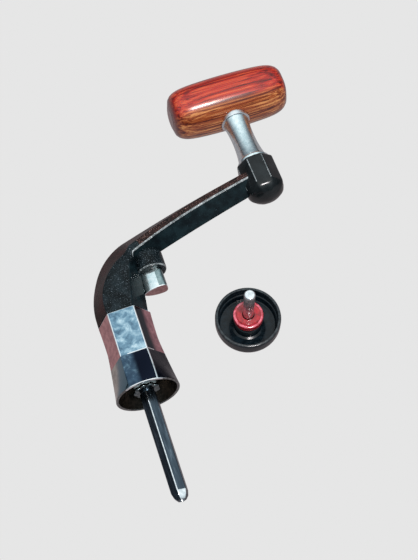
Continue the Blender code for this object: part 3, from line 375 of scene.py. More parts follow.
# The shank's chrome below comes in copies, picked face by face in shank_face: painted reflection on its
# flats and facets, painted highlight on its edges and boss, painted shade inside the bell and on the lock
# ring.
chrome_front_reflection = metal("chrome_front_reflection", FRONT_REFLECTION, wave=0.3, size=330)
chrome_left_reflection = metal("chrome_left_reflection", LEFT_ROSE_REFLECTION, wave=0.25, size=500)
chrome_right_reflection = metal("chrome_right_reflection", RIGHT_ROSE_REFLECTION, wave=0.25, size=500, layer=right_top_shade)
chrome_beige_reflection = metal("chrome_beige_reflection", BEIGE_REFLECTION, wave=0.2, size=400, layer=beige_top_reflection)
chrome_edge_highlight = metal("chrome_edge_highlight", EDGE_HIGHLIGHT, rough=(0.1, 0.2), wave=0.05)
chrome_lower_reflection = metal("chrome_lower_reflection", LOWER_REFLECTION, size=300, wave=0.3, rough=(0.2, 0.34), layer=lower_dark_reflection)
chrome_rim_reflection = metal("chrome_rim_reflection", RIM_REFLECTION, rough=(0.2, 0.3), wave=0.1)
chrome_inside_shade = metal("chrome_inside_shade", INSIDE_SHADE, wave=0.1, size=500, rough=(0.3, 0.45))
chrome_boss_highlight = metal("chrome_boss_highlight", BOSS_HIGHLIGHT, wave=0.1, rough=(0.25, 0.35), metallic=0.45)
ring_steel_shade = metal("ring_steel_shade", RING_SHADE, wave=0.05, rough=(0.12, 0.2))
chrome_sleeve = metal("chrome_sleeve", SLEEVE_TONES, space=KNOB, rough=(0.14, 0.24), wave=0.08)
button_lit = metal("button_lit", BUTTON_LIT, rough=(0.14, 0.26), wave=0.1)
button_shaded = metal("button_shaded", BUTTON_SHADED, rough=(0.15, 0.28), wave=0.1)
button_end_shade = metal("button_end_shade", BUTTON_END_SHADE, rough=(0.2, 0.35), wave=0.1)
steel_shaft = metal("steel_shaft", DARK_STEEL, scale=(1, 0.12, 1), rough=(0.18, 0.34), wave=0.2)
bright_steel_and_highlight = metal("bright_steel_and_highlight", BRIGHT_STEEL_AND_HIGHLIGHT, rough=(0.14, 0.26), wave=0.05)
steel_stud = metal("steel_stud", STUD_TONES, space=CAP, rough=(0.26, 0.34), wave=0.02)
bronze_bush = metal("bronze_bush", BRONZE, space=KNOB, rough=(0.25, 0.4))

# Copies of the arm's black paint, one for each side: painted reflection, teal on the front and reddish on
# the outer faces, painted light on the top flat past the elbow, painted shade on the inner faces, and a
# painted highlight on the edges.
FRONT_REFLECTION_PAINT = (0.002, 0.004, 0.005), (0.010, 0.017, 0.021), (0.16, 0.20, 0.23)
OUTER_REFLECTION_PAINT = (0.007, 0.004, 0.004), (0.030, 0.008, 0.008), (0.20, 0.11, 0.10)
TOP_LIT_PAINT = (0.008, 0.005, 0.005), (0.040, 0.016, 0.014), (0.36, 0.21, 0.18)
INNER_SHADE_PAINT = (0.003, 0.006, 0.008), (0.008, 0.018, 0.022), (0.06, 0.10, 0.12)
EDGE_HIGHLIGHT_PAINT = (0.05, 0.065, 0.07), (0.30, 0.33, 0.34), (0.8, 0.85, 0.86)
HUB_PAINT = (0.004, 0.006, 0.007), (0.012, 0.016, 0.018), (0.05, 0.06, 0.06)
paint_front_reflection = paint("paint_front_reflection", *FRONT_REFLECTION_PAINT, 0.635, gloss=0.12, coat=0.05)
paint_outer_reflection = paint("paint_outer_reflection", *OUTER_REFLECTION_PAINT, 0.66, gloss=0.06, coat=0.02)
paint_top_lit = paint("paint_top_lit", *TOP_LIT_PAINT, 0.63, gloss=0.12, coat=0.05)
paint_inner_shade = paint("paint_inner_shade", *INNER_SHADE_PAINT, 0.7, gloss=0.1, coat=0.05)
paint_edge_highlight = paint("paint_edge_highlight", *EDGE_HIGHLIGHT_PAINT, 0.6, (0.16, 0.26), gloss=0.5)
paint_hub = paint("paint_hub", *HUB_PAINT, 0.74, (0.14, 0.24), HUB, 0.25)

CAP_TONES = (0.002, 0.005, 0.008), (0.006, 0.013, 0.019)
# Painted reflection: reddish on the cap's downward-facing lower side.
FOOT_REFLECTION = (0.008, 0.006, 0.007), (0.040, 0.014, 0.014)
# Painted light: paler on the top of the cap's rim.
RIM_LIT_TONES = (0.008, 0.012, 0.015), (0.035, 0.045, 0.05)
DISC_TONES = (0.20, 0.001, 0.006), (0.42, 0.004, 0.014)
# Painted highlight: paler pink on the insert's raised rim.
DISC_RIM_HIGHLIGHT = (0.38, 0.006, 0.02), (0.75, 0.14, 0.20)
plastic_cap = plain("plastic_cap", *CAP_TONES, (0.16, 0.26), 0.0, 700, 0.1, CAP, gloss=0.22)
plastic_foot_reflection = plain("plastic_foot_reflection", *FOOT_REFLECTION, (0.2, 0.3), 0.0, 400, 0.1, CAP, gloss=0.15)
plastic_rim_lit = plain("plastic_rim_lit", *RIM_LIT_TONES, (0.2, 0.3), 0.0, 900, 0.2, CAP, gloss=0.35)
red_disc = plain("red_disc", *DISC_TONES, (0.12, 0.2), 0.0, 900, 0.5, CAP, 0.5)
red_rim_highlight = plain("red_rim_highlight", *DISC_RIM_HIGHLIGHT, (0.12, 0.22), 0.0, 1100, 1.0, CAP, 0.4)


# Shapes

def lofted(rings):
    """A closed shape through rings of equal count, its two ends filled."""
    shape = bmesh.new()
    rows = [[shape.verts.new(point) for point in ring] for ring in rings]
    count = len(rows[0])
    for lower, upper in zip(rows, rows[1:]):
        for i in range(count):
            j = (i + 1) % count
            shape.faces.new((lower[i], lower[j], upper[j], upper[i]))
    shape.faces.new(rows[0])
    shape.faces.new(rows[-1])
    return shape


def looped(rows):
    """A ring-shaped solid through a closed loop of rings of equal count."""
    shape = bmesh.new()
    made = [[shape.verts.new(point) for point in row] for row in rows]
    for k, row in enumerate(made):
        following = made[(k + 1) % len(made)]
        for i in range(len(row)):
            j = (i + 1) % len(row)
            shape.faces.new((row[i], row[j], following[j], following[i]))
    return shape


def ring_along(axis, outline, height):
    if axis == "Y":
        return [Vector((a, height, -b)) for a, b in outline]
    return [Vector((a, b, height)) for a, b in outline]


def circle(radius, sides=64, turn=0.0):
    return [
        (radius * cos(2 * pi * i / sides + turn), radius * sin(2 * pi * i / sides + turn))
        for i in range(sides)
    ]


def turned(profile, axis="Y", sides=64):
    return lofted([ring_along(axis, circle(r, sides), h) for r, h in profile])


def tube(profile, axis="Y", sides=64):
    return looped([ring_along(axis, circle(r, sides), h) for r, h in profile])


def prism(outline, low, high, axis="Z"):
    return lofted([ring_along(axis, outline, low), ring_along(axis, outline, high)])


def hexagon(flats, turn=0.0):
    return circle(flats / 2 / cos(pi / 6), 6, turn)


def rounded(corners, cut, steps=3, parts=1):
    """A polygon with each corner turned into an arc, and each side between arcs cut into parts."""
    points = []
    count = len(corners)
    for k, corner in enumerate(corners):
        here, following = Vector(corner), Vector(corners[(k + 1) % count])
        back = (Vector(corners[k - 1]) - here).normalized() * cut
        ahead = (following - here).normalized() * cut
        for i in range(steps + 1):
            s = i / steps
            points.append(tuple(here + back * (1 - s) ** 2 + ahead * s**2))
        start, end = here + ahead, following - ahead
        points += [tuple(start.lerp(end, i / parts)) for i in range(1, parts)]
    return points


def superellipse(half_a, half_b, power, sides):
    points = []
    for i in range(sides):
        t = 2 * pi * i / sides
        c, s = cos(t), sin(t)
        a = half_a * abs(c) ** (2 / power) * (1 if c >= 0 else -1)
        b = half_b * abs(s) ** (2 / power) * (1 if s >= 0 else -1)
        points.append((a, b))
    return points


def smoothstep(x):
    x = min(1.0, max(0.0, x))
    return x * x * (3 - 2 * x)


def placed(name, shape, space, materials=(), choose=None):
    """A mesh made in its own frame and then moved to its place, with a material index for each face."""
    bmesh.ops.recalc_face_normals(shape, faces=shape.faces)
    shape.normal_update()
    if choose:
        shape.faces.index_update()
        for face in shape.faces:
            face.material_index = choose(face.calc_center_median(), face.normal, face.index)
    mesh = bpy.data.meshes.new(name)
    shape.to_mesh(mesh)
    shape.free()
    mesh.transform(space)
    for made in materials:
        mesh.materials.append(made)
    obj = bpy.data.objects.new(name, mesh)
    bpy.context.scene.collection.objects.link(obj)
    return obj


def apply_modifiers(obj):
    bpy.context.view_layer.update()
    graph = bpy.context.evaluated_depsgraph_get()
    mesh = bpy.data.meshes.new_from_object(obj.evaluated_get(graph))
    obj.modifiers.clear()
    obj.data = mesh


def combine(target, shape, space, operation, materials=()):
    """Joins a shape to a piece, or cuts it out of the piece."""
    helper = placed(target.name + "_helper", shape, space, materials)
    modifier = target.modifiers.new("combine", "BOOLEAN")
    modifier.operation = operation
    modifier.object = helper
    modifier.solver = "EXACT"
    modifier.material_mode = "INDEX"
    apply_modifiers(target)
    bpy.data.objects.remove(helper)


def finished(obj, body, nodes, angle):
    """Smooths a piece up to an angle in degrees, attaches it to its body and hides the CAD nodes that it
    replaces.
    """
    obj.data.shade_smooth()
    obj.data.set_sharp_from_angle(angle=radians(angle))
    weight = obj.modifiers.new("even_normals", "WEIGHTED_NORMAL")
    weight.keep_sharp = True
    weight.weight = 90
    apply_modifiers(obj)
    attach(obj, body)
    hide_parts(*nodes)


# Shank and bell

def shank_half_corner(y):
    if y > WAIST_Y:
        share = (y - WAIST_Y) / (SEAM_Y - WAIST_Y)
        return WAIST_HALF_CORNER + (SEAM_HALF_CORNER - WAIST_HALF_CORNER) * share**2
    return WAIST_HALF_CORNER + (BELL_RADIUS - WAIST_HALF_CORNER) * ((WAIST_Y - y) / WAIST_Y) ** 1.1


SHANK_STEPS, SHANK_PARTS = 2, 8
SHANK_ROUNDING = 0.28 * MM
# The lines at the seam and the mouth are painted highlight, BORDER wide.
BORDER = 0.35 * MM  # of the bright lines at the seam and the mouth
SHANK_MATERIALS = (
    chrome_front_reflection,
    chrome_left_reflection,
    chrome_right_reflection,
    chrome_edge_highlight,
    chrome_lower_reflection,
    chrome_inside_shade,
    chrome_boss_highlight,
    chrome_beige_reflection,
    chrome_rim_reflection,
)
FRONT, LEFT, RIGHT, HIGHLIGHT, LOWER, INSIDE, BOSS, BELL_LEFT, RIM = range(9)


def shank_ring(y, inset=0.0, step=0.0):
    half_corner = shank_half_corner(y)
    flare = max(0.0, (FLARE_Y - y) / FLARE_Y)
    height = HEX_HEIGHT + (BELL_RADIUS - HEX_HEIGHT) * flare**1.15 + step
    half_flat = HEX_HALF_FLAT * (1 + 0.12 * flare)
    corners = [
        (half_corner, 0),
        (half_flat, height),
        (-half_flat, height),
        (-half_corner, 0),
        (-half_flat, -height),
        (half_flat, -height),
    ]
    ring = []
    for a, b in rounded(corners, SHANK_ROUNDING, SHANK_STEPS, SHANK_PARTS):
        angle = atan2(b, a)
        roundness = flare**2.2
        a += (half_corner * cos(angle) - a) * roundness
        b += (half_corner * sin(angle) - b) * roundness
        size = (a * a + b * b) ** 0.5
        ring.append((a * (1 - inset / size), b * (1 - inset / size)))
    return ring_along("Y", ring, y)


# Picks each face's chrome copy: painted highlight on the seam, the mouth's front, the kink at the flare and
# the shank's front edges; painted shade inside the bell; painted highlight on the boss; painted reflection
# on the flats and facets by the way that they face.
def shank_face(centre, normal, index):
    radius = (centre.x**2 + centre.z**2) ** 0.5
    outward = (centre.x * normal.x + centre.z * normal.z) / radius
    if radius < BOSS_RADIUS + 0.25 * MM and centre.y < BELL_DEPTH:
        return BOSS
    if outward < 0.2 and 0.1 * MM < centre.y < BELL_DEPTH + 0.01 * MM:
        return INSIDE
    row, place = divmod(index, 6 * (SHANK_STEPS + SHANK_PARTS))
    if centre.y > SEAM_Y - BORDER:
        return HIGHLIGHT
    if centre.y < BORDER:
        return HIGHLIGHT if centre.z > abs(centre.x) * 1.3 else RIM
    front_right = 5 * (SHANK_STEPS + SHANK_PARTS)
    if row in (10, 11) and front_right - 6 <= place <= front_right + 4:
        return HIGHLIGHT
    if row > 11 and place in (front_right, front_right + 1):
        return HIGHLIGHT
    if centre.y > FLARE_Y and normal.z > 0 and 0.15 < abs(normal.x) < 0.8:
        return HIGHLIGHT
    if abs(normal.x) < 0.42 and normal.z > 0 or abs(normal.x) < 0.2:
        return LOWER if centre.y < FLARE_Y else FRONT
    if centre.y < FLARE_Y:
        return BELL_LEFT if normal.x < 0 else LOWER
    return LEFT if normal.x < 0 else RIGHT


bevel = 0.3 * MM
rings = [
    shank_ring(SEAM_Y, bevel),
    shank_ring(SEAM_Y - bevel * 0.35, bevel * 0.25),
    shank_ring(SEAM_Y - bevel),
]
for k in range(1, 9):
    rings.append(shank_ring(SEAM_Y - bevel + (FLARE_Y + bevel - SEAM_Y) * k / 8))
rings.insert(-1, shank_ring(FLARE_Y + 0.25 * MM))
for k in range(19):
    s = k / 18
    rings.append(shank_ring((FLARE_Y - FLARE_STEP) * (1 - s) + bevel * s, step=FLARE_STEP * (1 - s)))
sides = len(rings[0])
bell_inner = BELL_RADIUS - BELL_WALL
neck_bore = SHAFT_NECK_RADIUS + RUNNING_GAP
bell = [
    (BELL_RADIUS - bevel * 0.3, bevel * 0.3),
    (BELL_RADIUS - bevel, 0),
    (bell_inner + 0.2 * MM, 0),
    (bell_inner, 0.2 * MM),
    (bell_inner - 0.5 * MM, BELL_DEPTH * 0.55),
    (bell_inner - 1.4 * MM, BELL_DEPTH - 0.5 * MM),
    (bell_inner - 2.2 * MM, BELL_DEPTH),
    (BOSS_RADIUS + 0.5 * MM, BELL_DEPTH),
    (BOSS_RADIUS + 0.1 * MM, BELL_DEPTH - 0.4 * MM),
    (BOSS_RADIUS, BOSS_Y + 1.6 * MM),
    (BOSS_RADIUS - 0.12 * MM, BOSS_Y + 1.0 * MM),
    (BOSS_RADIUS - 0.4 * MM, BOSS_Y + 0.45 * MM),
    (BOSS_RADIUS - 0.9 * MM, BOSS_Y + 0.08 * MM),
    (BOSS_RADIUS - 1.2 * MM, BOSS_Y),
    (neck_bore, BOSS_Y),
    (neck_bore, BOSS_Y + SHAFT_SEAT + GAP),
]
for radius, y in bell:
    rings.append(ring_along("Y", circle(radius, sides), y))
shank = placed("visual_shank", lofted(rings), HANDLE, SHANK_MATERIALS, shank_face)
PIVOT = HANDLE @ Matrix.Translation((PIVOT_X, SEAM_Y + PIVOT_ABOVE_SEAM, 0))
tongue_right = SEAM_HALF_CORNER - TONGUE_RIGHT_INSET - PIVOT_X
tongue_low = -PIVOT_ABOVE_SEAM - 2 * MM
tongue_start = acos(tongue_right / TONGUE_RADIUS)
tongue = [(tongue_right, tongue_low)]
for k in range(25):
    t = tongue_start + (pi - tongue_start) * k / 24
    tongue.append((TONGUE_RADIUS * cos(t), TONGUE_RADIUS * sin(t)))
tongue.append((-TONGUE_RADIUS, tongue_low))
combine(shank, prism(tongue, -TONGUE_THICKNESS / 2, TONGUE_THICKNESS / 2), PIVOT, "UNION")
hole = HINGE_PIN_RADIUS + RUNNING_GAP
combine(shank, turned([(hole, -4 * MM), (hole, 4 * MM)], "Z", 32), PIVOT, "DIFFERENCE")
finished(shank, "shank", ["shank_bell"], 25)

# Drive shaft and its ring
shaft_turn = pi / 2 - SHAFT_ROLL
CORNER_STEPS, SIDE_PARTS = 3, 2
SHAFT_SIDES = 6 * (CORNER_STEPS + SIDE_PARTS)


def flat_ring(flats, y, cut=0.22 * MM):
    return ring_along("Y", rounded(hexagon(flats, shaft_turn), cut, CORNER_STEPS, SIDE_PARTS), y)


def round_ring(radius, y):
    return ring_along("Y", circle(radius, SHAFT_SIDES, shaft_turn), y)


neck_end = BOSS_Y + SHAFT_SEAT
tip = -SHAFT_LENGTH + TIP_LENGTH
shaft_rings = [
    round_ring(SHAFT_NECK_RADIUS - 0.3 * MM, neck_end),
    round_ring(SHAFT_NECK_RADIUS, neck_end - 0.3 * MM),
    round_ring(SHAFT_NECK_RADIUS, SHAFT_ROOT_Y),
    flat_ring(SHAFT_FLATS, SHAFT_ROOT_Y),
]
for k in range(1, 7):
    shaft_rings.append(flat_ring(SHAFT_FLATS, SHAFT_ROOT_Y + (tip - SHAFT_ROOT_Y) * k / 6))
shaft_rings += [
    flat_ring(SHAFT_FLATS * 0.84, -SHAFT_LENGTH + TIP_LENGTH * 0.4),
    flat_ring(TIP_FLATS, -SHAFT_LENGTH, 0.12 * MM),
    round_ring(0.75 * MM, -SHAFT_LENGTH),
    round_ring(0.45 * MM, -SHAFT_LENGTH + 1.0 * MM),
]


def shaft_face(centre, normal, index):
    """1, the bright steel as a painted highlight, on the ridge that faces up and on the tip beside it."""
    ridge = -sin(SHAFT_ROLL) * normal.x + cos(SHAFT_ROLL) * normal.z
    if ridge > 0.93 and centre.y < 0:
        return 1
    return 1 if centre.y < tip and normal.z > 0.5 and centre.x > -0.3 * MM and normal.y > -0.9 else 0


shaft = placed("visual_shaft", lofted(shaft_rings), HANDLE, (steel_shaft, bright_steel_and_highlight), shaft_face)
finished(shaft, "shank", ["drive_shaft"], 28)

ring_sides = LOCK_RING_TEETH * 12


def toothed(inset, y):
    points = []
    for k in range(ring_sides):
        t = 2 * pi * k / ring_sides
        reach = LOCK_RING_RADIUS + LOCK_RING_TOOTH * abs(sin(LOCK_RING_TEETH * t / 2)) ** 0.8 - inset
        points.append((reach * cos(t), reach * sin(t)))
    return ring_along("Y", points, y)


ring_high = BOSS_Y - GAP
ring_low = ring_high - LOCK_RING_THICKNESS
lock_ring = placed(
    "visual_lock_ring",
    looped(
        [
            toothed(0.42 * MM, ring_low),
            toothed(0.16 * MM, ring_low + 0.1 * MM),
            toothed(0.0, ring_low + 0.35 * MM),
            toothed(0.0, ring_high - 0.35 * MM),
            toothed(0.16 * MM, ring_high - 0.1 * MM),
            toothed(0.42 * MM, ring_high),
            ring_along("Y", circle(neck_bore, ring_sides), ring_high),
            ring_along("Y", circle(neck_bore, ring_sides), ring_low),
        ]
    ),
    HANDLE,
    (ring_steel_shade,),
)
finished(lock_ring, "shank", ["shaft_lock_ring"], 40)


# Arm
STRAIGHT_STATIONS, FAN_STATIONS, RUN_STATIONS = 14, 18, 16
# The arm's paint in copies by side, for painted reflection, light and shade, with a painted highlight on
# some edges.
ARM_MATERIALS = (paint_front_reflection, paint_outer_reflection, paint_inner_shade, paint_edge_highlight, paint_hub, paint_top_lit)
ARM_FRONT, ARM_OUTER, ARM_INNER, ARM_HIGHLIGHT, ARM_HUB, ARM_TOP = range(6)


def elbow_stations():
    """The arm's sections from the seam to the hub, as in the part, more closely spaced."""
    start = SEAM_Y + SEAM_CLEARANCE
    corner = Vector((ELBOW_INNER_X, ELBOW_INNER_Y))
    outer_at_corner = corner.x - (ELBOW_TOP_WIDTH + ELBOW_SWELL)
    swell_start = SEAM_Y + 2.5 * MM
    flat_at_corner = Vector((7.1 * MM, 12.8 * MM))
    flat_after_elbow = Vector((5.65 * MM, 8.2 * MM))
    flat_at_hub = Vector((2.65 * MM, 4.9 * MM))
    stations = []
    for k in range(STRAIGHT_STATIONS + 1):
        risen = k / STRAIGHT_STATIONS
        y = start + (corner.y - start) * risen
        turning = max(0.0, (y - swell_start) / (corner.y - swell_start))
        outer = -SEAM_HALF_CORNER + (outer_at_corner + SEAM_HALF_CORNER) * turning**2
        inner = SEAM_HALF_CORNER + (corner.x - SEAM_HALF_CORNER) * risen**0.8
        flat_start = -HEX_HALF_FLAT + (flat_at_corner.x + outer_at_corner + HEX_HALF_FLAT) * turning**2.2
        flat_end = HEX_HALF_FLAT + (flat_at_corner.y + outer_at_corner - HEX_HALF_FLAT) * risen**1.2
        height = HEX_HEIGHT - 0.35 * MM * turning
        flat = flat_start - outer, flat_end - outer
        stations.append((Vector((outer, y)), Vector((inner, y)), *flat, height))
    turn = pi / 2 - ARM_RISE
    for k in range(1, FAN_STATIONS + 1):
        share = k / FAN_STATIONS
        outward = Vector((-cos(turn * share), sin(turn * share)))
        width = ELBOW_TOP_WIDTH + ELBOW_SWELL * (1 - share) ** 2.5
        flat = flat_at_corner.lerp(flat_after_elbow, share) + Vector((1.0, 0.35)) * MM * sin(pi * share)
        height = HEX_HEIGHT - (0.35 + 1.0 * share) * MM
        inner = corner + outward * ELBOW_INNER_RADIUS * smoothstep(share)
        stations.append((corner + outward * width, inner, *flat, height))
    along = Vector((cos(ARM_RISE), sin(ARM_RISE)))
    outward = Vector((-sin(ARM_RISE), cos(ARM_RISE)))
    first_width = ELBOW_TOP_WIDTH - ELBOW_INNER_RADIUS
    first = corner + outward * (ELBOW_INNER_RADIUS + first_width / 2)
    reach = (KNOB_X - 0.3 * MM - first.x) / along.x
    first_height = HEX_HEIGHT - 1.35 * MM
    for k in range(1, RUN_STATIONS + 1):
        share = k / RUN_STATIONS
        middle = first + along * reach * share + outward * ARM_BOW * sin(pi * share)
        half = (first_width + (ARM_HUB_WIDTH - first_width) * share**2) / 2
        ease = 1 - (1 - share) ** 3
        flat = flat_after_elbow.lerp(flat_at_hub, ease)
        height = first_height + (ARM_HUB_HEIGHT - first_height) * ease
        stations.append((middle + outward * half, middle - outward * half, *flat, height))
    return stations


def arm_section(outer, inner, flat_start, flat_end, height):
    inwards = (inner - outer).normalized()
    width = (inner - outer).length
    corners = [
        (0, 0),
        (flat_start, height),
        (flat_end, height),
        (width, 0),
        (flat_end, -height),
        (flat_start, -height),
    ]
    ring = []
    for across, z in rounded(corners, EDGE, 3):
        point = outer + inwards * across
        ring.append(Vector((point.x, point.y, z)))
    return ring


def arm_shape():
    """The lofted arm, its faces marked by the side of the section that they lie on, each side in its copy of
    the paint for painted reflection, light and shade, with a painted highlight along the front inner edge
    from the middle of the elbow on.
    """
    rings = [arm_section(*station) for station in elbow_stations()]
    elbow_end = STRAIGHT_STATIONS + FAN_STATIONS
    shape = bmesh.new()
    rows = [[shape.verts.new(point) for point in ring] for ring in rings]
    count = len(rows[0])
    kinds = (ARM_OUTER, ARM_FRONT, ARM_INNER, ARM_INNER, ARM_FRONT, ARM_OUTER)
    for place, (lower, upper) in enumerate(zip(rows, rows[1:])):
        for i in range(count):
            j = (i + 1) % count
            face = shape.faces.new((lower[i], lower[j], upper[j], upper[i]))
            side, part = divmod(i, 4)
            if side == 2 and part < 3 and place > elbow_end - FAN_STATIONS * 0.5:
                face.material_index = ARM_HIGHLIGHT
            elif side == 1 and place > elbow_end:
                face.material_index = ARM_TOP
            else:
                face.material_index = kinds[side]
    shape.faces.new(rows[0])
    shape.faces.new(rows[-1])
    return shape


def hub_shape():
    """Octagonal hub with softened edges and a ball-shaped lower end, measured from its top."""
    octagon = rounded(circle(HUB_FLATS / 2 / cos(pi / 8), 8, pi / 8), 0.5 * MM, 3, 2)
    round_radius = HUB_FLATS / 2 * 1.04
    angles = [atan2(b, a) for a, b in octagon]
    rings = []
    dome = 14
    for k in range(1, dome + 1):
        t = pi / 2 * k / dome
        radius = round_radius * sin(t)
        y = -HUB_FACET_LENGTH - (HUB_LENGTH - HUB_FACET_LENGTH) * cos(t)
        share = (k / dome) ** 3
        outline = []
        for (a, b), angle in zip(octagon, angles):
            x = a * share * sin(t) + radius * cos(angle) * (1 - share)
            z = b * share * sin(t) + radius * sin(angle) * (1 - share)
            outline.append((x, z))
        rings.append(ring_along("Y", outline, y))
    for inset, y in ((1, -0.75), (0.993, -0.45), (0.975, -0.22), (0.95, -0.07), (0.92, 0)):
        rings.append(ring_along("Y", [(a * inset, b * inset) for a, b in octagon], y * MM))
    return lofted(rings)


arm = placed("visual_arm", arm_shape(), HANDLE, ARM_MATERIALS)


def add_painted(shape, space, index, edge):
    """Joins a shape to the arm, in the material of that index, or in the painted edge highlight where
    edge(i) says.
    """
    for i, face in enumerate(shape.faces):
        face.material_index = ARM_HIGHLIGHT if edge(i) else index
    combine(arm, shape, space, "UNION", ARM_MATERIALS)


# Painted highlight lines along the hub's long edges.
add_painted(hub_shape(), HUB, ARM_HUB, lambda i: i // 40 == 13 and i % 5 == 1)
boss_top = BUTTON_BOSS_Y + BUTTON_BOSS_LENGTH
boss_profile = [
    (BUTTON_BOSS_RADIUS - 0.7 * MM, BUTTON_BOSS_Y),
    (BUTTON_BOSS_RADIUS - 0.25 * MM, BUTTON_BOSS_Y + 0.12 * MM),
    (BUTTON_BOSS_RADIUS, BUTTON_BOSS_Y + 0.6 * MM),
    (BUTTON_BOSS_RADIUS, boss_top - 2.5 * MM),
    (BUTTON_BOSS_RADIUS * 0.8, boss_top - 0.8 * MM),
    (BUTTON_BOSS_RADIUS * 0.4, boss_top),
]
boss_space = HANDLE @ Matrix.Translation((BUTTON_BOSS_X, 0, 0))
# Painted highlight on the button boss's rounded lower rim.
add_painted(turned(boss_profile), boss_space, ARM_FRONT, lambda i: i // 64 == 1)

slot = TONGUE_RADIUS + GAP
half_slot = TONGUE_THICKNESS / 2 + GAP
outline = [(-slot, -DOWN)]
outline += [(slot * cos(pi - pi / 2 * k / 16), slot * sin(pi - pi / 2 * k / 16)) for k in range(17)]
outline += [(ACROSS, slot), (ACROSS, -DOWN)]
combine(arm, prism(outline, -half_slot, half_slot), PIVOT, "DIFFERENCE")
clear = PIVOT_ABOVE_SEAM - SEAM_CLEARANCE
outline = [(clear * sin(pi / 2 * k / 14), -clear * cos(pi / 2 * k / 14)) for k in range(15)]
outline += [(FAR, 0), (FAR, -DOWN), (0, -DOWN)]
combine(arm, prism(outline, -ACROSS, ACROSS), PIVOT, "DIFFERENCE")
hole = HINGE_PIN_RADIUS + FIT_GAP
combine(arm, turned([(hole, -ACROSS), (hole, HINGE_PIN_TOP + GAP)], "Z", 32), PIVOT, "DIFFERENCE")


def egg(left, right, half_b, count=56):
    """A section with its ridge at 0: slanted on the left of it, full on the right."""
    full = superellipse(right, half_b, 3.2, count)
    slanted = superellipse(left, half_b, 1.8, count)
    return [full[i] if full[i][0] >= -1e-9 else slanted[i] for i in range(count)]


pocket = egg(BUTTON_LEFT + BUTTON_GAP, BUTTON_RIGHT + BUTTON_GAP, BUTTON_HALF_DEPTH + BUTTON_GAP)
pocket_top = BUTTON_Y + BUTTON_LENGTH + BUTTON_TRAVEL + GAP
RIDGE = HANDLE @ Matrix.Translation((BUTTON_X, 0, 0))
combine(arm, prism(pocket, BUTTON_Y - 3 * MM, pocket_top, "Y"), RIDGE, "DIFFERENCE")
spring_bore = [(SPRING_BORE_RADIUS, pocket_top - 1 * MM), (SPRING_BORE_RADIUS, pocket_top + SPRING_ROOM)]
combine(arm, turned(spring_bore, "Y", 32), RIDGE, "DIFFERENCE")
pawl_low = SEAM_Y + PIVOT_ABOVE_SEAM + TONGUE_RADIUS + 2 * GAP - PAWL_DROP
pawl_high = pawl_low + PAWL_DROP + PAWL_WIDTH + BUTTON_TRAVEL + GAP
half = PAWL_HALF_DEPTH + GAP
left = PIVOT_X - PAWL_LEFT
outline = [(left, half), (left, -half), (BUTTON_X, -half), (BUTTON_X, half)]
combine(arm, prism(outline, pawl_low, pawl_high, "Y"), HANDLE, "DIFFERENCE")
pin_hole = turned([(STOP_PIN_HOLE_RADIUS, -ACROSS), (STOP_PIN_HOLE_RADIUS, 0)], "Z", 24)
pin_space = RIDGE @ Matrix.Translation((0, BUTTON_BOSS_Y + STOP_PIN_ABOVE_BOSS, 0))
combine(arm, pin_hole, pin_space, "DIFFERENCE")
hole = SPINDLE_RADIUS + FIT_GAP
combine(arm, turned([(hole, -SPINDLE_SEAT - GAP), (hole, 5 * MM)], "Y", 32), HUB, "DIFFERENCE")
finished(arm, "arm", ["crank_arm"], 30)

# Button
BUTTON = RIDGE @ Matrix.Translation((0, BUTTON_Y, 0))
BUTTON_MATERIALS = (button_lit, button_shaded, button_end_shade, chrome_edge_highlight)
BUTTON_SLANT, BUTTON_FULL, BUTTON_END, BUTTON_HIGHLIGHT = range(4)
BUTTON_SIDES = 56


def button_ring(inset, y):
    section = egg(BUTTON_LEFT - inset, BUTTON_RIGHT - inset, BUTTON_HALF_DEPTH - inset)
    return ring_along("Y", section, y)


# Painted light on the slanted face, painted shade on the full face and the end, and a painted highlight on
# the bevel.
def button_face(centre, normal, index):
    if normal.y < -0.9:
        return BUTTON_END
    if normal.y < -0.2:
        return BUTTON_HIGHLIGHT
    return BUTTON_SLANT if centre.x < -0.1 * MM else BUTTON_FULL


bevel = 0.35 * MM
button_rings = [button_ring(bevel, 0), button_ring(0.1 * MM, 0.12 * MM), button_ring(0, bevel)]
button_rings += [button_ring(0, bevel + (BUTTON_LENGTH - 2 * bevel) * k / 5) for k in range(1, 6)]
button_rings += [
    button_ring(bevel, BUTTON_LENGTH),
    ring_along("Y", circle(SPIGOT_RADIUS, BUTTON_SIDES), BUTTON_LENGTH),
    ring_along("Y", circle(SPIGOT_RADIUS, BUTTON_SIDES), BUTTON_LENGTH + SPIGOT_LENGTH),
]
button = placed("visual_button", lofted(button_rings), BUTTON, BUTTON_MATERIALS, button_face)
half = STOP_SLOT_HALF
pin_y = BUTTON_BOSS_Y + STOP_PIN_ABOVE_BOSS - BUTTON_Y
slot_low, slot_high = pin_y - half - BUTTON_TRAVEL, pin_y + half
outline = [(-half, slot_low), (half, slot_low), (half, slot_high), (-half, slot_high)]
combine(button, prism(outline, -DOWN, STOP_SLOT_TOP), BUTTON, "DIFFERENCE")
finished(button, "button", ["release_button"], 35)

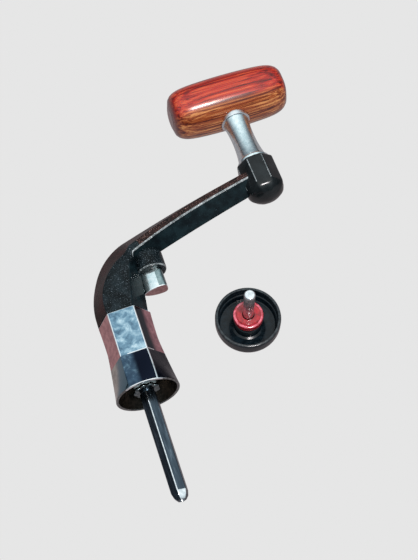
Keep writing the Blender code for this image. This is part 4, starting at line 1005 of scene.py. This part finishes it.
# Spring behind the button, which shortens as the button goes in
COIL_STEPS, WIRE_SIDES = 32, 12
spring_start = BUTTON_Y + BUTTON_LENGTH + SPRING_LIFT
spring_low = spring_start + SPRING_WIRE / 2
spring_high = spring_start + BUTTON_TRAVEL + SPRING_ROOM - SPRING_WIRE / 2
coil = []
for k in range(COIL_STEPS * SPRING_TURNS + 1):
    t = 2 * pi * k / COIL_STEPS
    out, along = Vector((cos(t), 0, sin(t))), Vector((0, 1, 0))
    rise = spring_low + (spring_high - spring_low) * k / (COIL_STEPS * SPRING_TURNS)
    middle = out * SPRING_RADIUS + along * rise
    coil.append([middle + (out * a + along * b) for a, b in circle(SPRING_WIRE / 2, WIRE_SIDES)])
spring = placed("visual_spring", lofted(coil), RIDGE, (bright_steel_and_highlight,))
finished(spring, "arm", ["button_spring"], 60)
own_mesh(spring)

# Knob
foot = GAP * 0.6
collar = BAR_HEIGHT - BAR_HALF_DEPTH + COLLAR_SINK
bore = SPINDLE_RADIUS + RUNNING_GAP + BUSH_WALL + FIT_GAP
collar_low = collar - SLEEVE_COLLAR_LENGTH
waist = foot + (collar_low - foot) * 0.6
edge = 0.3 * MM
profile = [
    (SLEEVE_FOOT_RADIUS - edge, foot),
    (SLEEVE_FOOT_RADIUS - edge * 0.3, foot + edge * 0.3),
    (SLEEVE_FOOT_RADIUS, foot + edge),
    (SLEEVE_FOOT_RADIUS, foot + 2.6 * edge),
    (SLEEVE_FOOT_RADIUS - edge * 0.4, foot + 3 * edge),
]
for k in range(1, 17):
    s = k / 16
    reach = SLEEVE_WAIST_RADIUS + (SLEEVE_FOOT_RADIUS - 2 * edge - SLEEVE_WAIST_RADIUS) * (1 - s) ** 2.2
    profile.append((reach, foot + 3.2 * edge + (waist - foot - 3.2 * edge) * s))
neck = SLEEVE_COLLAR_RADIUS - 2 * edge
for k in range(1, 13):
    s = k / 12
    reach = SLEEVE_WAIST_RADIUS + (neck - SLEEVE_WAIST_RADIUS) * s**2
    profile.append((reach, waist + (collar_low - waist) * s))
tube_top = BAR_HEIGHT + BAR_SEAT - 2 * GAP
washer_room = 2.2 * WASHER_THICKNESS + GAP
profile += [
    (SLEEVE_COLLAR_RADIUS - edge, collar_low),
    (SLEEVE_COLLAR_RADIUS - edge * 0.3, collar_low + edge * 0.3),
    (SLEEVE_COLLAR_RADIUS, collar_low + edge),
    (SLEEVE_COLLAR_RADIUS, collar),
    (SLEEVE_TUBE_RADIUS, collar),
    (SLEEVE_TUBE_RADIUS, tube_top),
    (bore, tube_top),
    (bore, washer_room),
    (SLEEVE_WAIST_RADIUS + 2 * edge, washer_room),
    (SLEEVE_WAIST_RADIUS + 2 * edge, foot),
]


def sleeve_face(centre, normal, index):
    """1, the bright steel, on the collar."""
    return 1 if centre.y > collar_low and centre.y < collar + 0.1 * MM else 0


sleeve = placed("visual_sleeve", tube(profile, "Y", 96), KNOB, (chrome_sleeve, bright_steel_and_highlight), sleeve_face)
finished(sleeve, "knob", ["knob_sleeve"], 30)

stations = []
for k in range(33):
    t = -1 + 2 * k / 32
    stations.append(0.995 * (abs(t) ** 0.62) * (1 if t > 0 else -1))
bar_rings = []
for u in stations:
    barrel = (1 - 0.10 * u * u) * (1 - abs(u) ** 8) ** 0.25
    section = superellipse(BAR_HALF_DEPTH * barrel, BAR_HALF_BREADTH * barrel, 2.25, 96)
    bar_rings.append([Vector((u * BAR_HALF_LENGTH, BAR_HEIGHT + a, b)) for a, b in section])
bar = placed("visual_bar", lofted(bar_rings), KNOB, (wood(),))
collar_room = SLEEVE_COLLAR_RADIUS + 0.06 * MM
tube_room = SLEEVE_TUBE_RADIUS + 0.1 * MM
plug_room = END_CAP_RADIUS + 0.08 * MM
bar_seat = BAR_HEIGHT + BAR_SEAT - GAP
bar_bore = [
    (collar_room, BAR_HEIGHT - 2 * BAR_HALF_DEPTH),
    (collar_room, collar + 0.1 * MM),
    (tube_room, collar + 0.1 * MM),
    (tube_room, bar_seat),
    (plug_room, bar_seat),
    (plug_room, BAR_HEIGHT + 2 * BAR_HALF_DEPTH),
]
combine(bar, turned(bar_bore, "Y", 96), KNOB, "DIFFERENCE")
finished(bar, "knob", ["t_bar"], 35)

plug_high = BAR_HEIGHT + BAR_HALF_DEPTH + 0.1 * MM
plug_low = plug_high - END_CAP_THICKNESS
plug_profile = [(END_CAP_RADIUS - 0.2 * MM, plug_low), (END_CAP_RADIUS, plug_low + 0.2 * MM)]
for k in range(13):
    t = pi / 2 * k / 12
    reach = (END_CAP_RADIUS - 0.4 * MM) * cos(t) + 0.4 * MM * (1 - k / 12)
    plug_profile.append((reach, plug_high - 0.5 * MM + 0.5 * MM * sin(t)))
plug_profile[-1] = (0.25 * MM, plug_high)
plug = placed("visual_end_plug", turned(plug_profile, "Y", 64), KNOB, (chrome_sleeve,))
finished(plug, "knob", ["knob_end_cap"], 30)

# Cap
CAP_BOWL, CAP_FOOT, CAP_RIM = range(3)
hole = STUD_RADIUS + FIT_GAP
cap_inner = CAP_RADIUS - CAP_WALL
nut_room = hole + 1.9 * MM
spread = CAP_RADIUS - CAP_BASE_RADIUS
cap_profile = [(nut_room, 0), (CAP_BASE_RADIUS - 1.2 * MM, 0), (CAP_BASE_RADIUS - 0.4 * MM, 0.12 * MM)]
bowl_low, bowl_high = 0.45 * MM, CAP_HEIGHT * 0.6
for k in range(15):
    s = k / 14
    reach = CAP_BASE_RADIUS + spread * (1 - (1 - s) ** 2.2) * 0.985
    cap_profile.append((reach, bowl_low + (bowl_high - bowl_low) * s))
cap_profile += [
    (CAP_RADIUS, CAP_HEIGHT - 0.9 * MM),
    (CAP_RADIUS - 0.08 * MM, CAP_HEIGHT - 0.45 * MM),
    (CAP_RADIUS - 0.3 * MM, CAP_HEIGHT - 0.12 * MM),
    (CAP_RADIUS - 0.55 * MM, CAP_HEIGHT),
    (cap_inner + 0.2 * MM, CAP_HEIGHT),
    (cap_inner + 0.05 * MM, CAP_HEIGHT - 0.1 * MM),
    (cap_inner, CAP_HEIGHT - 0.4 * MM),
    (cap_inner, CAP_FLOOR + 2.6 * MM),
    (cap_inner - 0.35 * MM, CAP_FLOOR + 2.4 * MM),
    (cap_inner - 0.5 * MM, CAP_FLOOR + 0.6 * MM),
    (cap_inner - 0.7 * MM, CAP_FLOOR + 0.15 * MM),
    (cap_inner - 1.1 * MM, CAP_FLOOR),
    (CAP_BOSS_RADIUS + 2.2 * MM, CAP_FLOOR),
    (CAP_BOSS_RADIUS + 0.9 * MM, CAP_FLOOR - 0.3 * MM),
    (CAP_BOSS_RADIUS + 0.2 * MM, CAP_FLOOR),
    (CAP_BOSS_RADIUS + 0.05 * MM, CAP_BOSS_HEIGHT - 2.0 * MM),
    (CAP_BOSS_RADIUS - 0.25 * MM, CAP_BOSS_HEIGHT - 1.8 * MM),
    (CAP_BOSS_RADIUS - 0.25 * MM, CAP_BOSS_HEIGHT - 0.3 * MM),
    (CAP_BOSS_RADIUS - 0.5 * MM, CAP_BOSS_HEIGHT),
    (hole, CAP_BOSS_HEIGHT),
    (hole, CAP_FLOOR),
    (nut_room, CAP_FLOOR),
]


# The rim's top takes the painted light, the downward-facing lower side the painted reflection.
def cap_face(centre, normal, index):
    radius = (centre.x**2 + centre.y**2) ** 0.5
    if centre.z > CAP_HEIGHT - 0.5 * MM and radius > cap_inner - 0.05 * MM:
        return CAP_RIM
    return CAP_FOOT if normal.z < -0.15 and centre.z < CAP_HEIGHT * 0.35 else CAP_BOWL


cap_materials = (plastic_cap, plastic_foot_reflection, plastic_rim_lit)
cap = placed("visual_cap", tube(cap_profile, "Z", 128), CAP, cap_materials, cap_face)
finished(cap, "cap", ["cap_shell"], 30)

disc_hole = STUD_RADIUS + 0.25 * MM
disc_low = CAP_BOSS_HEIGHT + 0.25 * MM
disc_high = disc_low + INSERT_THICKNESS
disc_profile = [
    (disc_hole, disc_low),
    (INSERT_RADIUS - 0.3 * MM, disc_low),
    (INSERT_RADIUS - 0.08 * MM, disc_low + 0.1 * MM),
    (INSERT_RADIUS, disc_low + 0.35 * MM),
    (INSERT_RADIUS, disc_high - 0.5 * MM),
    (INSERT_RADIUS - 0.12 * MM, disc_high - 0.18 * MM),
    (INSERT_RADIUS - 0.45 * MM, disc_high),
    (INSERT_RADIUS - 0.8 * MM, disc_high - 0.05 * MM),
    (INSERT_RADIUS - 1.0 * MM, disc_high - 0.2 * MM),
    (disc_hole + 1.0 * MM, disc_high - 0.2 * MM),
    (disc_hole + 0.7 * MM, disc_high - 0.05 * MM),
    (disc_hole, disc_high),
]


def disc_face(centre, normal, index):
    """1, the paler red, a painted highlight, on the raised rim."""
    radius = (centre.x**2 + centre.y**2) ** 0.5
    return 1 if centre.z > disc_high - 0.4 * MM and radius > INSERT_RADIUS - 0.9 * MM else 0


disc = placed("visual_disc", tube(disc_profile, "Z", 96), CAP, (red_disc, red_rim_highlight), disc_face)
finished(disc, "cap", ["cap_insert"], 40)

stud_top = disc_high + STUD_LENGTH
stud_profile = [(STUD_RADIUS - 0.3 * MM, 0.35 * MM), (STUD_RADIUS, 0.6 * MM)]
stud_profile += [
    (STUD_RADIUS, stud_top - 0.85 * MM),
    (STUD_RADIUS, stud_top - 0.5 * MM),
    (STUD_RADIUS - 0.12 * MM, stud_top - 0.25 * MM),
    (STUD_RADIUS - 0.4 * MM, stud_top),
]


def stud_face(centre, normal, index):
    """1, the bright steel as a painted highlight, on the chamfered end."""
    return 1 if centre.z > stud_top - 0.6 * MM else 0


stud = placed("visual_stud", turned(stud_profile, "Z", 48), CAP, (steel_stud, bright_steel_and_highlight), stud_face)
finished(stud, "cap", ["cap_stud"], 45)

# CAD pieces that keep their shape
KEPT = {
    "fold_hinge_pin": bright_steel_and_highlight,
    "lock_pawl": bright_steel_and_highlight,
    "button_stop_pin": bright_steel_and_highlight,
    "knob_spindle": bright_steel_and_highlight,
    "thrust_washer": bright_steel_and_highlight,
    "retaining_washer": bright_steel_and_highlight,
    "knob_nut": bright_steel_and_highlight,
    "cap_stud_nut": steel_stud,
    "bush_lower": bronze_bush,
    "bush_upper": bronze_bush,
}
for name, made in KEPT.items():
    for place in frame["nodes"][name].material_slots:
        place.material = made

# Floor, light and camera
floor_shape = bmesh.new()
FLOOR_HALF, FLOOR_DROP = 3.0, 0.0002
quarters = ((-1, -1), (1, -1), (1, 1), (-1, 1))
floor_shape.faces.new(
    [floor_shape.verts.new((x * FLOOR_HALF, y * FLOOR_HALF, -FLOOR_DROP)) for x, y in quarters]
)
floor_mesh = bpy.data.meshes.new("floor")
floor_shape.to_mesh(floor_mesh)
floor_shape.free()
floor = bpy.data.objects.new("floor", floor_mesh)
bpy.context.scene.collection.objects.link(floor)
floor_paint = bpy.data.materials.new("floor_paint")
floor_paint.use_nodes = True
tree = floor_paint.node_tree
tree.nodes.clear()
seen = tree.nodes.new("ShaderNodeEmission")
seen.inputs["Color"].default_value = (0.791, 0.791, 0.791, 1)
mirrored = tree.nodes.new("ShaderNodeEmission")
mirrored.inputs["Color"].default_value = (0.36, 0.32, 0.33, 1)
path = tree.nodes.new("ShaderNodeLightPath")
choice = tree.nodes.new("ShaderNodeMixShader")
out = tree.nodes.new("ShaderNodeOutputMaterial")
tree.links.new(path.outputs["Is Camera Ray"], choice.inputs[0])
tree.links.new(mirrored.outputs[0], choice.inputs[1])
tree.links.new(seen.outputs[0], choice.inputs[2])
tree.links.new(choice.outputs[0], out.inputs["Surface"])
floor_mesh.materials.append(floor_paint)

world = bpy.data.worlds.new("studio")
bpy.context.scene.world = world
world.use_nodes = True
tree = world.node_tree
background = tree.nodes["Background"]
direction = tree.nodes.new("ShaderNodeTexCoord")
parts = tree.nodes.new("ShaderNodeSeparateXYZ")
tree.links.new(direction.outputs["Generated"], parts.inputs["Vector"])
SKY = [
    (0.0, (0.03, 0.03, 0.035)),
    (0.4, (0.24, 0.27, 0.30)),
    (0.72, (0.75, 0.86, 0.90)),
    (0.95, (1.15, 1.2, 1.2)),
]
climb = ramp(tree, parts.outputs["Z"], SKY)
tree.links.new(climb, background.inputs["Color"])
background.inputs["Strength"].default_value = 1.0

centre = Vector(((cad_box[0][0] + cad_box[1][0]) / 2, (cad_box[0][1] + cad_box[1][1]) / 2, 0.01))


def softbox(name, aim, distance, width, height, power, colour):
    light = bpy.data.lights.new(name, "AREA")
    light.shape = "RECTANGLE"
    light.size, light.size_y = width, height
    light.energy = power
    light.color = colour
    obj = bpy.data.objects.new(name, light)
    aim = Vector(aim).normalized()
    obj.location = centre + aim * distance
    obj.rotation_euler = aim.to_track_quat("Z", "Y").to_euler()
    bpy.context.scene.collection.objects.link(obj)


softbox("key", (0.06, -0.38, 0.92), 0.67, 0.15, 0.08, 3.0, (1.0, 0.95, 0.95))

AZIMUTH, ELEVATION, ROLL = radians(-17.92), radians(63.62), radians(0.343)
DISTANCE, AIM_X, AIM_Y = 0.4187, 0.03126, 0.03678  # in metres, the aim from the bell mouth's centre
SENSOR, FOCAL_LENGTHS_PER_HEIGHT = 36, 1268.6 / 560
level = cos(ELEVATION)
back = Vector((sin(AZIMUTH) * level, -cos(AZIMUTH) * level, sin(ELEVATION)))
across = Vector((cos(AZIMUTH), sin(AZIMUTH), 0))
upward = back.cross(across)
camera_x = across * cos(ROLL) + upward * sin(ROLL)
camera_y = upward * cos(ROLL) - across * sin(ROLL)
camera_data = bpy.data.cameras.new("camera")
camera_data.sensor_width = SENSOR
camera_data.lens = SENSOR * FOCAL_LENGTHS_PER_HEIGHT
camera = bpy.data.objects.new("camera", camera_data)
target = Vector((handle_origin.x + AIM_X, handle_origin.y + AIM_Y, 0))
camera.matrix_world = frame_matrix(target + back * DISTANCE, camera_x, camera_y, back)
bpy.context.scene.collection.objects.link(camera)
bpy.context.scene.camera = camera
bpy.context.scene.view_settings.view_transform = "Standard"
